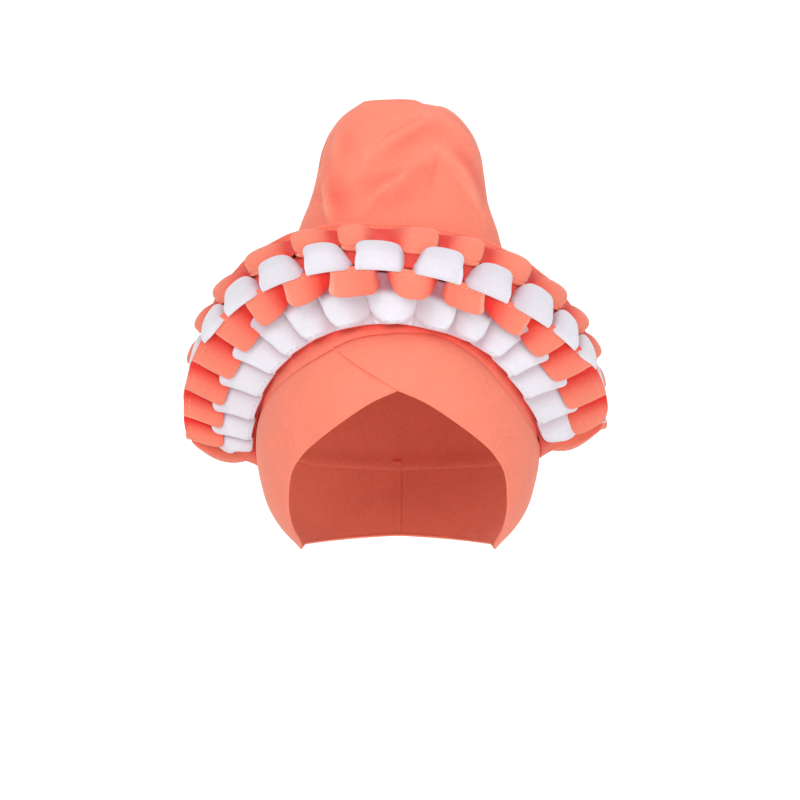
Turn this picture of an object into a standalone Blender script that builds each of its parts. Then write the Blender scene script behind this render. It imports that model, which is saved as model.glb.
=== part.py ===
"""Turban cap: a soft cap with a crossed forehead band, a tall crown and a brim of looped cloth ribbons.

Metres, +Z up. The wearer looks along -Y and +X is the wearer's left. The origin is the crown of the
wearer's head, where the cap sits.
"""

import math

import bmesh
import bpy
import numpy as np
from mathutils import Vector

# Cloth
CAP_CLOTH = 0.002
RIBBON_CLOTH = 0.0015
TAPE_CLOTH = 0.0016
SEAM_GAP = 0.0008
BACK_GAP = 0.0011
SEATS = {"front": 0.0022, "back": 0.0014}

# Cap and crown, from the neck edge to the tip: height, half width, depth in front and behind.
RING_COLUMNS = ("height", "half_width", "front", "back")
RINGS = (
    (-0.170, 0.061, 0.050, 0.070),
    (-0.160, 0.071, 0.061, 0.079),
    (-0.148, 0.079, 0.070, 0.087),
    (-0.130, 0.085, 0.080, 0.096),
    (-0.110, 0.088, 0.090, 0.101),
    (-0.090, 0.087, 0.095, 0.102),
    (-0.070, 0.084, 0.096, 0.100),
    (-0.050, 0.080, 0.091, 0.096),
    (-0.030, 0.075, 0.081, 0.091),
    (-0.010, 0.070, 0.070, 0.085),
    (0.010, 0.066, 0.060, 0.078),
    (0.026, 0.062, 0.054, 0.072),
    (0.043, 0.056, 0.049, 0.067),
    (0.060, 0.0525, 0.046, 0.063),
    (0.076, 0.0490, 0.042, 0.058),
    (0.089, 0.0425, 0.036, 0.050),
    (0.099, 0.0335, 0.028, 0.040),
    (0.106, 0.0230, 0.018, 0.028),
)
CROWN_TIP = (0.001, 0.005, 0.1085)
CROWN_SHIFT = (0.0012, 0.030, 0.080)
CROWN_SEAM = 0.005

# Band seam: angle round the head from the front, and the height there on the -X and the +X side.
SEAM_LINE_COLUMNS = ("angle", "minus_side", "plus_side")
BAND_SEAM = (
    (0, -0.0385, -0.0385),
    (20, -0.0425, -0.0415),
    (38, -0.054, -0.0560),
    (51, -0.063, -0.0730),
    (69, -0.078, -0.0950),
    (90, -0.096, -0.1070),
    (130, -0.112, -0.1140),
    (180, -0.118, -0.1180),
)
# Face edge: angle round the head from the front, and the height there.
FACE_EDGE = (
    (0, -0.0735),
    (10, -0.080),
    (23, -0.0925),
    (32, -0.102),
    (41, -0.112),
    (49, -0.125),
    (54, -0.140),
    (59, -0.152),
    (66, -0.1635),
    (76, -0.169),
    (110, -0.1695),
    (180, -0.1665),
)
CROSSING_TIP = (29, -0.0475)
CROSSING_LIFT = CAP_CLOTH + 0.0010
CROSSING_RAMP = (31, 42)

# Brim rims, as arches over the face: half width, height on top and at the side, depth on top and at
# the side, squareness of the arch, and how far one shoulder hangs under the other.
RIM_COLUMNS = ("half_width", "top", "side", "front_y", "side_y", "square", "droop")
RIMS = {
    "front": (0.1295, 0.0000, -0.088, -0.106, 0.004, 2.00, 0.0070),
    "shoulder": (0.1260, 0.0120, -0.086, -0.084, 0.027, 2.30, 0.0055),
    "back": (0.1225, 0.0215, -0.084, -0.062, 0.050, 2.40, 0.0050),
}
RIM_SHIFT = -0.0015
DEPTH_POWER = 1.3

# Brim seams on the cap, a row for each section: section angle, then cap angle and height of each seam.
SEAM_COLUMNS = ("section", "front_angle", "front_height", "back_angle", "back_height")
BRIM_SEAMS = (
    (0, 0, -0.0340, 0, 0.016),
    (22, 24, -0.0395, 28, 0.010),
    (46, 51, -0.0560, 60, -0.008),
    (59, 65, -0.0700, 80, -0.024),
    (71, 77, -0.0860, 98, -0.043),
    (90, 91, -0.1080, 118, -0.076),
    (100, 96, -0.1190, 124, -0.098),
)
SEAM_DROOP = 0.003
# How many degrees further forward the front seam runs on the +X side, and where that grows and fades
SEAM_FORWARD = (9, (25, 65), (88, 100))
BRIM_ENDS = (-100, 97)
BRIM_DIP = 0.0055
BRIM_END_BULGE = 0.007
# How far to each side the brim's directions are measured, in section degrees and in places
SLOPE_SPAN = 3
PLACE_SPAN = 0.02

# Ribbon loops. Sewn and free edges are places on the brim: 0 cap seam, 1 front rim, 2 shoulder,
# 3 back rim. Middle counts the folds from the left end to the spot that the row is laid out from.
LOOP_COLUMNS = (
    "sewn", "free", "middle",
    "wave_sewn", "wave_middle", "wave_free", "lift_sewn", "lift_free", "lean", "scallop",
)
LOOPS = {
    "loops_white_front": (
        0.03, 0.64, 8.5,
        0.0022, 0.0062, 0.0012, 0.0015, 0.0017, 0.19, 0.00,
    ),
    "loops_coral_front": (
        1.00, 0.55, 8.5,
        0.0016, 0.0050, 0.0060, 0.0013, 0.0070, 0.24, 0.20,
    ),
    "loops_white_back": (
        1.06, 1.80, 8,
        0.0014, 0.0044, 0.0050, 0.0014, 0.0016, 0.24, 0.20,
    ),
    "loops_coral_back": (
        1.94, 2.86, 8,
        0.0030, 0.0066, 0.0012, 0.0014, 0.0040, 0.24, 0.12,
    ),
}
# Brim sections of the folds between the loops, from the left end to the right end.
LOOP_FOLDS = {
    "loops_white_front": (
        -95, -88.8, -79.4, -69, -58.5, -48.2, -37.2, -24.6, -10.2,
        6.4, 18.9, 30.5, 42.7, 54, 65.6, 78.5, 91,
    ),
    "loops_coral_front": (
        -98, -89.2, -79.8, -69.5, -57.6, -44.6, -31.6, -18.1, -2.3,
        11.2, 25.1, 39.2, 52.4, 64.9, 78.5, 93.5,
    ),
    "loops_white_back": (
        -97, -86, -75, -63.5, -51.5, -37.8, -24, -10.6,
        3.4, 17.6, 31.1, 45.4, 57, 69, 81.5, 95,
    ),
    "loops_coral_back": (
        -97, -88, -77.5, -66.5, -54.6, -41, -26, -13.4,
        -2.6, 9.8, 21.2, 35.5, 48.8, 60.5, 72, 83.5, 95,
    ),
}
LOOP_FULLNESS = 0.8
LOOP_CALM = (0.38, 50, 95)
LEAN_GROWS = 1.5
LOOP_STEPS = 8
LOOP_ROWS = 2

LOOP_LOOKS = {
    "loops_white_front": (0, -1, 0),
    "loops_coral_front": (0, -1, 0),
    "loops_white_back": (0, 0, 1),
    "loops_coral_back": (0, 0, 1),
}

# Rim tape rows: place on the brim, and height over it.
TAPE_ROWS = ((2.86, 0.0013), (2.97, 0.0015), (3.0, 0.0058))
TAPE_ENDS = (-98, 95)

# Soft dents of the crown, a row for each: angle and height of both ends, depth, half width.
DENT_COLUMNS = ("from_angle", "from_height", "to_angle", "to_height", "depth", "half_width")
DENTS = (
    (14, 0.097, -34, 0.052, 0.0034, 0.010),
    (-62, 0.072, -78, 0.022, 0.0024, 0.009),
    (38, 0.092, 58, 0.040, 0.0040, 0.010),
    (4, 0.060, -40, 0.024, 0.0024, 0.009),
    (76, 0.086, 92, 0.030, 0.0028, 0.010),
    (150, 0.090, 120, 0.030, 0.0034, 0.012),
    (-150, 0.092, -128, 0.036, 0.0036, 0.012),
    (190, 0.080, 176, 0.022, 0.0026, 0.010),
)
TIP_NOTCH = (0.0185, 0.0060, 0.0040)

DENT_FADE = (0.08, 0.92)

# Brim base rows, as places from its front seam to its back seam, and how far each seam stands up.
BRIM_PLACES = (0, 0.25, 0.5, 0.75, 1.0, 1.5, 2.0, 2.5, 3.0, 3.5, 4.0)
BRIM_END_ROWS = 3

# Mesh density
CAP_ROWS = 5
CROWN_SIDES = 34
CROWN_ROWS = 10
CROWN_ROW_POWER = 0.9
BAND_SIDES = 15
BAND_CROSSING_SIDES = 5
BAND_ROWS = 4
BAND_TIP = 0.002
BRIM_SECTIONS = 40

BAND_ANGLES = np.concatenate([
    np.linspace(0, CROSSING_TIP[0], BAND_CROSSING_SIDES, endpoint=False),
    np.linspace(CROSSING_TIP[0], 180, BAND_SIDES + 1),
])

CORAL = (0.98, 0.27, 0.17, 1.0)
WHITE = (0.86, 0.82, 0.90, 1.0)
CLOTH_ROUGHNESS = 0.8


def smooth(places, values, at):
    """A smooth curve through the table's values, level at its two ends."""
    places, values = np.asarray(places, float), np.asarray(values, float)
    at = np.clip(np.asarray(at, float), places[0], places[-1])
    slopes = np.gradient(values, places)
    i = np.clip(np.searchsorted(places, at) - 1, 0, len(places) - 2)
    span = places[i + 1] - places[i]
    t = (at - places[i]) / span
    low = values[i] * (1 + 2 * t) * (1 - t) ** 2 + slopes[i] * span * t * (1 - t) ** 2
    high = values[i + 1] * t**2 * (3 - 2 * t) + slopes[i + 1] * span * t**2 * (t - 1)
    return low + high


def column(rows, names, name):
    return np.array([row[names.index(name)] for row in rows], float)


def unit(vectors):
    return vectors / np.linalg.norm(vectors, axis=-1, keepdims=True)


def ramp(value, start, end):
    t = np.clip((value - start) / (end - start), 0, 1)
    return t * t * (3 - 2 * t)


def ring_size(name, height):
    return smooth(column(RINGS, RING_COLUMNS, "height"), column(RINGS, RING_COLUMNS, name), height)


def cap_point(angle, height, out=0.0):
    """A point on the cap's outside. The angle is in degrees from the front, positive towards +X."""
    turn = np.radians(np.asarray(angle, float))
    height = np.asarray(height, float)
    depth = np.where(np.cos(turn) > 0, ring_size("front", height), ring_size("back", height))
    x = (ring_size("half_width", height) + out) * np.sin(turn)
    y = -(depth + out) * np.cos(turn)
    return np.stack([x, y, height + 0 * x], axis=-1)


def seam_height(angle):
    places = column(BAND_SEAM, SEAM_LINE_COLUMNS, "angle")
    minus, plus = (column(BAND_SEAM, SEAM_LINE_COLUMNS, side) for side in SEAM_LINE_COLUMNS[1:])
    return np.where(angle < 0, smooth(places, minus, -angle), smooth(places, plus, angle))


def face_edge_height(angle):
    places, heights = zip(*FACE_EDGE)
    return smooth(places, heights, np.abs(angle))


def signed_power(value, power):
    return np.sign(value) * np.abs(value) ** power


def rim_point(name, section):
    """A point on one of the brim's rims, at a section angle from the top of the arch."""
    rim = dict(zip(RIM_COLUMNS, RIMS[name]))
    turn = np.radians(section)
    power = 2 / rim["square"]
    x = RIM_SHIFT + rim["half_width"] * signed_power(np.sin(turn), power)
    z = rim["side"] + (rim["top"] - rim["side"]) * signed_power(np.cos(turn), power)
    y = rim["side_y"] + (rim["front_y"] - rim["side_y"]) * signed_power(np.cos(turn), DEPTH_POWER)
    return np.stack([x, y, z - rim["droop"] * np.sin(2 * turn)], axis=-1)


def seam_place(edge, section):
    """The cap angle and the height of the brim's front seam or back seam at a section."""
    places = column(BRIM_SEAMS, SEAM_COLUMNS, "section")
    angle = smooth(places, column(BRIM_SEAMS, SEAM_COLUMNS, edge + "_angle"), np.abs(section))
    height = smooth(places, column(BRIM_SEAMS, SEAM_COLUMNS, edge + "_height"), np.abs(section))
    height = height - SEAM_DROOP * np.sin(2 * np.radians(section))
    if edge == "front":
        forward, grows, fades = SEAM_FORWARD
        angle = angle - forward * ramp(section, *grows) * (1 - ramp(section, *fades))
    return np.sign(section) * angle, height


def brim_seam(edge, section):
    """A point where the brim meets the cap, on its front seam or its back seam."""
    return cap_point(*seam_place(edge, section), SEATS[edge])


def brim_face(section, place):
    """A point on the brim: 0 front seam, 1 front rim, 2 shoulder, 3 back rim, 4 back seam."""
    section, place = np.broadcast_arrays(np.asarray(section, float), np.asarray(place, float))
    front, shoulder, back = (rim_point(name, section) for name in RIMS)
    seam = brim_seam("front", section)
    p = place[..., None]
    tangent = rim_point("front", section + SLOPE_SPAN) - rim_point("front", section - SLOPE_SPAN)
    inward = unit(np.cross(front - seam, tangent))
    face = seam + (front - seam) * p + inward * BRIM_DIP * 4 * p * (1 - p)
    r = p - 1
    top = front * (r - 1) * (r - 2) / 2 - shoulder * r * (r - 2) + back * r * (r - 1) / 2
    rear = back + (brim_seam("back", section) - back) * (p - 3)
    return np.where(p <= 1, face, np.where(p <= 3, top, rear))


def brim_normal(section, place, side):
    """The outward direction of the brim's face; side keeps to one side of the front rim."""
    low, high = (0.0, 1.0) if side == "front" else (1.0, 3.0)
    near = np.clip(place - PLACE_SPAN, low, high)
    far = np.clip(place + PLACE_SPAN, low, high)
    across = brim_face(section, far) - brim_face(section, near)
    along = brim_face(section + SLOPE_SPAN, place) - brim_face(section - SLOPE_SPAN, place)
    return unit(np.cross(along, across))


def loop_surface(name, steps, shares):
    """The middle of a looped ribbon: steps count its folds, shares run from its sewn edge."""
    loop = dict(zip(LOOP_COLUMNS, LOOPS[name]))
    step, share = np.meshgrid(steps, shares, indexing="ij")
    wave = np.abs(np.sin(np.pi * step)) ** LOOP_FULLNESS
    count = np.arange(len(LOOP_FOLDS[name]))
    share_lost, start, end = LOOP_CALM
    calm = 1 - share_lost * ramp(np.abs(np.interp(step, count, LOOP_FOLDS[name])), start, end)
    lean = loop["lean"] * calm * np.clip((step - loop["middle"]) / LEAN_GROWS, -1, 1)
    section = np.interp(step + lean * wave, count, LOOP_FOLDS[name])
    v = share * (1 - loop["scallop"] * (1 - wave) * share)
    place = loop["sewn"] + (loop["free"] - loop["sewn"]) * v
    height = (
        loop["wave_sewn"] * 2 * (v - 0.5) * (v - 1)
        - loop["wave_middle"] * 4 * v * (v - 1)
        + loop["wave_free"] * 2 * v * (v - 0.5)
    )
    lift = loop["lift_sewn"] + (loop["lift_free"] - loop["lift_sewn"]) * v
    side = "front" if loop["sewn"] <= 1 else "top"
    out = brim_normal(section, place, side)
    return brim_face(section, place) + out * (lift + height * calm * wave)[..., None]


def dented(points, fade_range):
    """Presses the crown's soft dents into points on its outside."""
    push = np.zeros(len(points))
    for row in DENTS:
        dent = dict(zip(DENT_COLUMNS, row))
        start = cap_point(dent["from_angle"], dent["from_height"])
        end = cap_point(dent["to_angle"], dent["to_height"])
        line = end - start
        t = np.clip((points - start) @ line / (line @ line), 0, 1)
        away = np.linalg.norm(points - (start + t[:, None] * line), axis=1)
        fade = np.sin(np.pi * np.clip(t, *fade_range))
        push += dent["depth"] * fade * np.exp(-((away / dent["half_width"]) ** 2))
    axis = points * 0 + np.array([0.0, CROWN_TIP[1], 0.0])
    axis[:, 2] = points[:, 2]
    moved = points - unit(points - axis) * push[:, None]
    notch_x, notch_width, notch_depth = TIP_NOTCH
    near = np.exp(-(((points[:, 0] - notch_x) / notch_width) ** 2)) * ramp(points[:, 2], 0.088, 0.104)
    moved[:, 2] -= notch_depth * near
    shift, start, end = CROWN_SHIFT
    moved[:, 0] += shift * ramp(points[:, 2], start, end)
    return moved


def cloth_material(name, colour):
    material = bpy.data.materials.new(name)
    material.use_nodes = True
    shader = material.node_tree.nodes["Principled BSDF"]
    shader.inputs["Base Color"].default_value = colour
    shader.inputs["Roughness"].default_value = CLOTH_ROUGHNESS
    shader.inputs["Metallic"].default_value = 0.0
    return material


def grid_faces(rows, columns, closed=False):
    """Quads between neighbouring rows and columns of a grid of points, numbered row by row."""
    faces = []
    last = columns if closed else columns - 1
    for i in range(rows - 1):
        for j in range(last):
            k = (j + 1) % columns
            faces.append((i * columns + j, i * columns + k, (i + 1) * columns + k, (i + 1) * columns + j))
    return faces


def sheet(name, points, colour, thickness, offset, outside, closed=False, cap_ends=()):
    """A sheet of cloth from a grid of points, given its thickness.

    Offset -1 grows it inwards and 0 both ways. Outside is a direction that the first face looks in.
    """
    points = np.asarray(points)
    rows, columns = points.shape[:2]
    corners = [tuple(p) for p in points.reshape(-1, 3)]
    faces = grid_faces(rows, columns, closed)
    for row, tip in cap_ends:
        corners.append(tuple(tip))
        start = row * columns
        ring = [(start + j, start + (j + 1) % columns) for j in range(columns)]
        faces += [(b, a, len(corners) - 1) if row == 0 else (a, b, len(corners) - 1) for a, b in ring]
    mesh = bpy.data.meshes.new(name)
    mesh.from_pydata(corners, [], faces)
    mesh.materials.append(cloth_material(name + "_cloth", colour))
    shape = bmesh.new()
    shape.from_mesh(mesh)
    bmesh.ops.remove_doubles(shape, verts=shape.verts, dist=1e-5)
    bmesh.ops.recalc_face_normals(shape, faces=shape.faces)
    shape.to_mesh(mesh)
    shape.free()
    where = points[0, 0]
    nearest = min(mesh.polygons, key=lambda face: (face.center - Vector(where)).length)
    if nearest.normal.dot(Vector(outside)) < 0:
        mesh.flip_normals()
    obj = bpy.data.objects.new(name, mesh)
    bpy.context.scene.collection.objects.link(obj)
    wall = obj.modifiers.new("cloth", "SOLIDIFY")
    wall.thickness = thickness
    wall.offset = offset
    mesh.shade_smooth()
    return obj


def build_cap():
    """The dome, from the band seam up to the crown seam, open below and above."""
    angles = np.concatenate([-BAND_ANGLES[:0:-1], BAND_ANGLES[:-1]])
    low = seam_height(angles) + SEAM_GAP / 2
    high = CROWN_SEAM - SEAM_GAP / 2
    rows = [cap_point(angles, low + (high - low) * t) for t in np.linspace(0, 1, CAP_ROWS)]
    return sheet("cap_body", rows, CORAL, CAP_CLOTH, -1, (0, 1, 0), closed=True)


def build_crown():
    """The tall crown with its soft dents, closed over the tip and open to the cap below."""
    angles = np.linspace(-180, 180, CROWN_SIDES, endpoint=False)
    low, high = CROWN_SEAM + SEAM_GAP / 2, RINGS[-1][0]
    rows = []
    for t in np.linspace(0, 1, CROWN_ROWS):
        height = low + (high - low) * math.sin(t * math.pi / 2) ** CROWN_ROW_POWER
        rows.append(dented(cap_point(angles, height + 0 * angles), DENT_FADE))
    tip = [(CROWN_ROWS - 1, CROWN_TIP)]
    return sheet("crown_tower", rows, CORAL, CAP_CLOTH, -1, (0, 1, 0), closed=True, cap_ends=tip)


def crossing_height(reach):
    """The lower edge of a band past the middle of the forehead, reach in degrees beyond it."""
    tip_angle, tip_height = CROSSING_TIP
    start = face_edge_height(0.0)
    return start + (tip_height - start) * np.clip(reach / tip_angle, 0, 1)


def build_band(name, side, over):
    """A forehead band from its crossing tip, round one side of the head, to the middle of the back."""
    back = 180 - math.degrees(BACK_GAP / 2 / RINGS[4][3])
    reach = np.concatenate([-BAND_ANGLES[BAND_CROSSING_SIDES:0:-1], BAND_ANGLES[:-1], [back]])
    top = seam_height(side * reach) - SEAM_GAP / 2
    low = np.where(reach < 0, crossing_height(-reach), face_edge_height(reach))
    low = np.minimum(low, top - BAND_TIP)
    lift = CROSSING_LIFT * (1 - ramp(reach, *CROSSING_RAMP)) if over else 0 * reach
    rows = []
    for t in np.linspace(0, 1, BAND_ROWS):
        rows.append(cap_point(side * reach, top + (low - top) * t, lift))
    return sheet(name, rows, CORAL, CAP_CLOTH, -1, (0, -1, 0))


def brim_profile(section):
    """The brim base's outline at one section, from its front seam round to its back seam."""
    return brim_face(section, np.array(BRIM_PLACES))


def build_brim():
    """The hollow brim body, open towards the cap, with a rounded wall across each bottom end."""
    sections = np.linspace(*BRIM_ENDS, BRIM_SECTIONS)
    body = np.array([brim_profile(s) for s in sections])
    walls = []
    for section in BRIM_ENDS:
        outer = brim_profile(section)
        s = np.linspace(0, 1, len(outer))
        front, back = seam_place("front", section), seam_place("back", section)
        inner = cap_point(*(a + (b - a) * s for a, b in zip(front, back)), SEATS["front"])
        inner[0], inner[-1] = outer[0], outer[-1]
        wall = []
        for t in np.linspace(0, 1, BRIM_END_ROWS + 1)[1:]:
            row = outer + (inner - outer) * t
            row[:, 2] -= BRIM_END_BULGE * 4 * t * (1 - t) * np.sin(np.pi * s)
            wall.append(row)
        walls.append(wall)
    rows = walls[0][::-1] + list(body) + walls[1]
    return sheet("brim_base", rows, CORAL, CAP_CLOTH, -1, (0, 0, -1))


def build_loops(name, colour):
    last = len(LOOP_FOLDS[name]) - 1
    steps = np.linspace(0, last, last * LOOP_STEPS + 1)
    points = loop_surface(name, steps, np.linspace(0, 1, LOOP_ROWS + 1))
    return sheet(name, points, colour, RIBBON_CLOTH, 0, LOOP_LOOKS[name])


def build_tape():
    """The tape bound over the brim's back rim."""
    sections = np.linspace(*TAPE_ENDS, BRIM_SECTIONS)
    rows = []
    for place, rise in TAPE_ROWS:
        out = brim_normal(sections, np.minimum(place, 3), "top")
        rows.append(brim_face(sections, min(place, 3.0)) + out * rise)
    return sheet("rim_tape", rows, CORAL, TAPE_CLOTH, 0, (0, -1, 0))


def main():
    for obj in list(bpy.data.objects):
        bpy.data.objects.remove(obj, do_unlink=True)
    build_cap()
    build_crown()
    build_band("band_left", -1, over=False)
    build_band("band_right", 1, over=True)
    build_brim()
    build_loops("loops_white_front", WHITE)
    build_loops("loops_coral_front", CORAL)
    build_loops("loops_white_back", WHITE)
    build_loops("loops_coral_back", CORAL)
    build_tape()


main()
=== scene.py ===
"""Dresses the turban cap: stretch cloth, crossed front bands and a brim of looped ribbon."""

import bpy
import numpy as np
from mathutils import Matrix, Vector


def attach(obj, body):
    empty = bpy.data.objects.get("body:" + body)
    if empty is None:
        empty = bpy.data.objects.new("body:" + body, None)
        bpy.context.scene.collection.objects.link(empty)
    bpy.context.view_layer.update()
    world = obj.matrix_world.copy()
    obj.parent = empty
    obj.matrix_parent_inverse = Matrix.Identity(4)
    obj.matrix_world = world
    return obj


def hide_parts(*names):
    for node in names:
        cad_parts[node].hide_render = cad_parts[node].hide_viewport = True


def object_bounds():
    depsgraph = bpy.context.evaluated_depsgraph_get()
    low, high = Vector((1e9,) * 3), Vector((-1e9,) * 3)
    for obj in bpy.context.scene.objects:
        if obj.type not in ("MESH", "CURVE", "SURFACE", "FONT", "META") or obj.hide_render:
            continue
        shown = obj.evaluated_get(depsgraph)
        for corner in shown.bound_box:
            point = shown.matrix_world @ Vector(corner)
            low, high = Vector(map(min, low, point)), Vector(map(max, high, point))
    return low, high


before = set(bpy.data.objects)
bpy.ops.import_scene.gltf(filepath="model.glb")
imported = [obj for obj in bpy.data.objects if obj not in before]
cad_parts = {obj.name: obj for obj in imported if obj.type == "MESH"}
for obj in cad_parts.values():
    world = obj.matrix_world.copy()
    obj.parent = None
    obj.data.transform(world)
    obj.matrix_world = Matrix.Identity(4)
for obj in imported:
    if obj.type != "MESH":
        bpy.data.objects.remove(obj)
CAD_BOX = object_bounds()

bl_info = {
    "name": "Turban cap",
    "version": (1, 0, 0),
    "blender": (4, 5, 0),
    "location": "3D View > Sidebar > Turban cap",
    "description": "Builds a looped-brim turban cap, its cloth and its photo stage",
    "category": "Object",
}

# Cap and crown, from the lower edge to the tip: height, half width, depth in front and behind.
RING_COLUMNS = ("height", "half_width", "front", "back")
RINGS = (
    (-0.170, 0.061, 0.050, 0.070),
    (-0.160, 0.071, 0.061, 0.079),
    (-0.148, 0.079, 0.070, 0.087),
    (-0.130, 0.085, 0.080, 0.096),
    (-0.110, 0.088, 0.090, 0.101),
    (-0.090, 0.087, 0.095, 0.102),
    (-0.070, 0.084, 0.096, 0.100),
    (-0.050, 0.080, 0.091, 0.096),
    (-0.030, 0.075, 0.081, 0.091),
    (-0.010, 0.070, 0.070, 0.085),
    (0.010, 0.066, 0.060, 0.078),
    (0.026, 0.062, 0.054, 0.072),
    (0.043, 0.056, 0.049, 0.067),
    (0.060, 0.0525, 0.046, 0.063),
    (0.076, 0.0490, 0.042, 0.058),
    (0.089, 0.0425, 0.036, 0.050),
    (0.099, 0.0335, 0.028, 0.040),
    (0.106, 0.0230, 0.018, 0.028),
)
CROWN_TIP = (0.001, 0.005, 0.1085)
# The crown leans to +X by this much, and from and to which heights
CROWN_SHIFT = (0.0012, 0.030, 0.080)
# Height of the seam between the cap's dome and the crown
CROWN_SEAM = 0.005

# Band seam: angle round the cap from the front, and the height there on the -X and the +X side.
SEAM_LINE_COLUMNS = ("angle", "minus_side", "plus_side")
BAND_SEAM = (
    (0, -0.0385, -0.0385),
    (20, -0.0425, -0.0415),
    (38, -0.054, -0.0560),
    (51, -0.063, -0.0730),
    (69, -0.078, -0.0950),
    (90, -0.096, -0.1070),
    (130, -0.112, -0.1140),
    (180, -0.118, -0.1180),
)
# Front edge of the bands: angle round the cap from the front, and the height there.
FRONT_EDGE = (
    (0, -0.0735),
    (10, -0.080),
    (23, -0.0925),
    (32, -0.102),
    (41, -0.112),
    (49, -0.125),
    (54, -0.140),
    (59, -0.152),
    (66, -0.1635),
    (76, -0.169),
    (110, -0.1695),
    (180, -0.1665),
)
# Each band's end past the middle of the front: the angle and the height of its tip
CROSSING_TIP = (29, -0.0475)
# The angles over which the upper band comes back down onto the cap
CROSSING_RAMP = (31, 46)
# What the lower band gives way under the upper one, in the open and more beside the seam
CROSSING_SINK = (0.0006, 0.0016)
# Where the upper band covers the lower one: heights over the crossing line where that starts and is full,
# and angles past the tip between which it ends
COVER_HEIGHTS = (-0.0005, 0.0025)
COVER_ENDS = (-1, 6)
# A band is nowhere narrower than this
BAND_LEAST = 0.002

# Brim rims, as arches over the front: half width, height on top and at the side, depth on top and at
# the side, squareness of the arch, and how far one shoulder hangs under the other.
RIM_COLUMNS = ("half_width", "top", "side", "front_y", "side_y", "square", "droop")
RIMS = {
    "front": (0.1295, 0.0000, -0.088, -0.106, 0.004, 2.00, 0.0070),
    "shoulder": (0.1260, 0.0120, -0.086, -0.084, 0.027, 2.30, 0.0055),
    "back": (0.1225, 0.0215, -0.084, -0.062, 0.050, 2.40, 0.0050),
}
# How far the rims are shifted along X, and how their depth runs from the top of the arch to the sides
RIM_SHIFT = -0.0015
DEPTH_POWER = 1.3

# Brim seams on the cap, a row for each section: section angle, then cap angle and height of each seam.
SEAM_COLUMNS = ("section", "front_angle", "front_height", "back_angle", "back_height")
BRIM_SEAMS = (
    (0, 0, -0.0340, 0, 0.016),
    (22, 24, -0.0395, 28, 0.010),
    (46, 51, -0.0560, 60, -0.008),
    (59, 65, -0.0700, 80, -0.024),
    (71, 77, -0.0860, 98, -0.043),
    (90, 91, -0.1080, 118, -0.076),
    (100, 96, -0.1190, 124, -0.098),
)
# How far the seams hang on the +X side, and stand up on the -X side
SEAM_DROOP = 0.003
# How many degrees further forward the front seam runs on the +X side, and where that grows and fades
SEAM_FORWARD = (9, (25, 65), (88, 100))
# Sections of the brim's two ends, how far its front face dips in, and how far its closed ends bulge
BRIM_ENDS = (-100, 97)
BRIM_DIP = 0.0055
BRIM_END_BULGE = 0.008
# Waves of the brim's rear face: depth, degrees to a radian, and the places where they set in and end
REAR_WAVES = (0.0011, 5.3, (3.1, 3.5), (3.8, 4.0))
# Folds of the brim's end walls: depth, and how fast they run across the wall and in towards the cap
WALL_FOLDS = (0.0009, 17, 2)
# Painted shade on the brim's cloth between the ribbons: strength, the places where it fades at the back
# rim, how much of it is lost towards the ends and between which sections, and what the end walls keep
BRIM_PAINTED_SHADE = 0.9
BRIM_PAINTED_SHADE_ENDS = (2.90, 3.02)
BRIM_PAINTED_SHADE_FADE = (0.7, (91, 99))
END_WALL_PAINTED_SHADE = 0.3
# How far to each side the brim's directions are measured, in section degrees and in places
SLOPE_SPAN = 3
PLACE_SPAN = 0.02
# How far off the cap the brim's edges lie
SEAT = 0.0008

# Ribbon rows. Sewn and free are places on the brim: 0 cap seam, 1 front rim, 2 shoulder, 3 back rim.
# Middle counts the folds from the left-hand end to the loop or fold that the row is laid out from.
# Crests and lifts are heights over the brim at the sewn edge, the middle and the free edge. Scallops
# and puff are the shares of the width that the loops' corners draw back at each edge, or lie flat.
# Sink lowers the cloth in the folds. Smile lifts the sewn edge's corners, and pinch thins the loops
# towards the free edge. Rise is the share over which the loops stand up from the sewn edge. Bulge and
# flare widen a loop at its middle and at its sewn edge. Hem is how far in its line is pressed. The last
# three columns are painted light: painted shade deep in the folds, painted shade at the free edge
# where the next row overhangs it, and painted light that brightens the rest of the cloth.
# Each row has its values at the top of the arch, and then its values at the sides.
LOOP_COLUMNS = (
    "sewn", "free", "crest_sewn", "crest_middle", "crest_free", "lift_sewn", "lift_middle", "lift_free",
    "sink", "scallop_sewn", "scallop_free", "smile", "puff", "rise", "pinch", "bulge", "flare", "hem",
    "painted_fold_shade", "shade", "painted_light",
)
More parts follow.
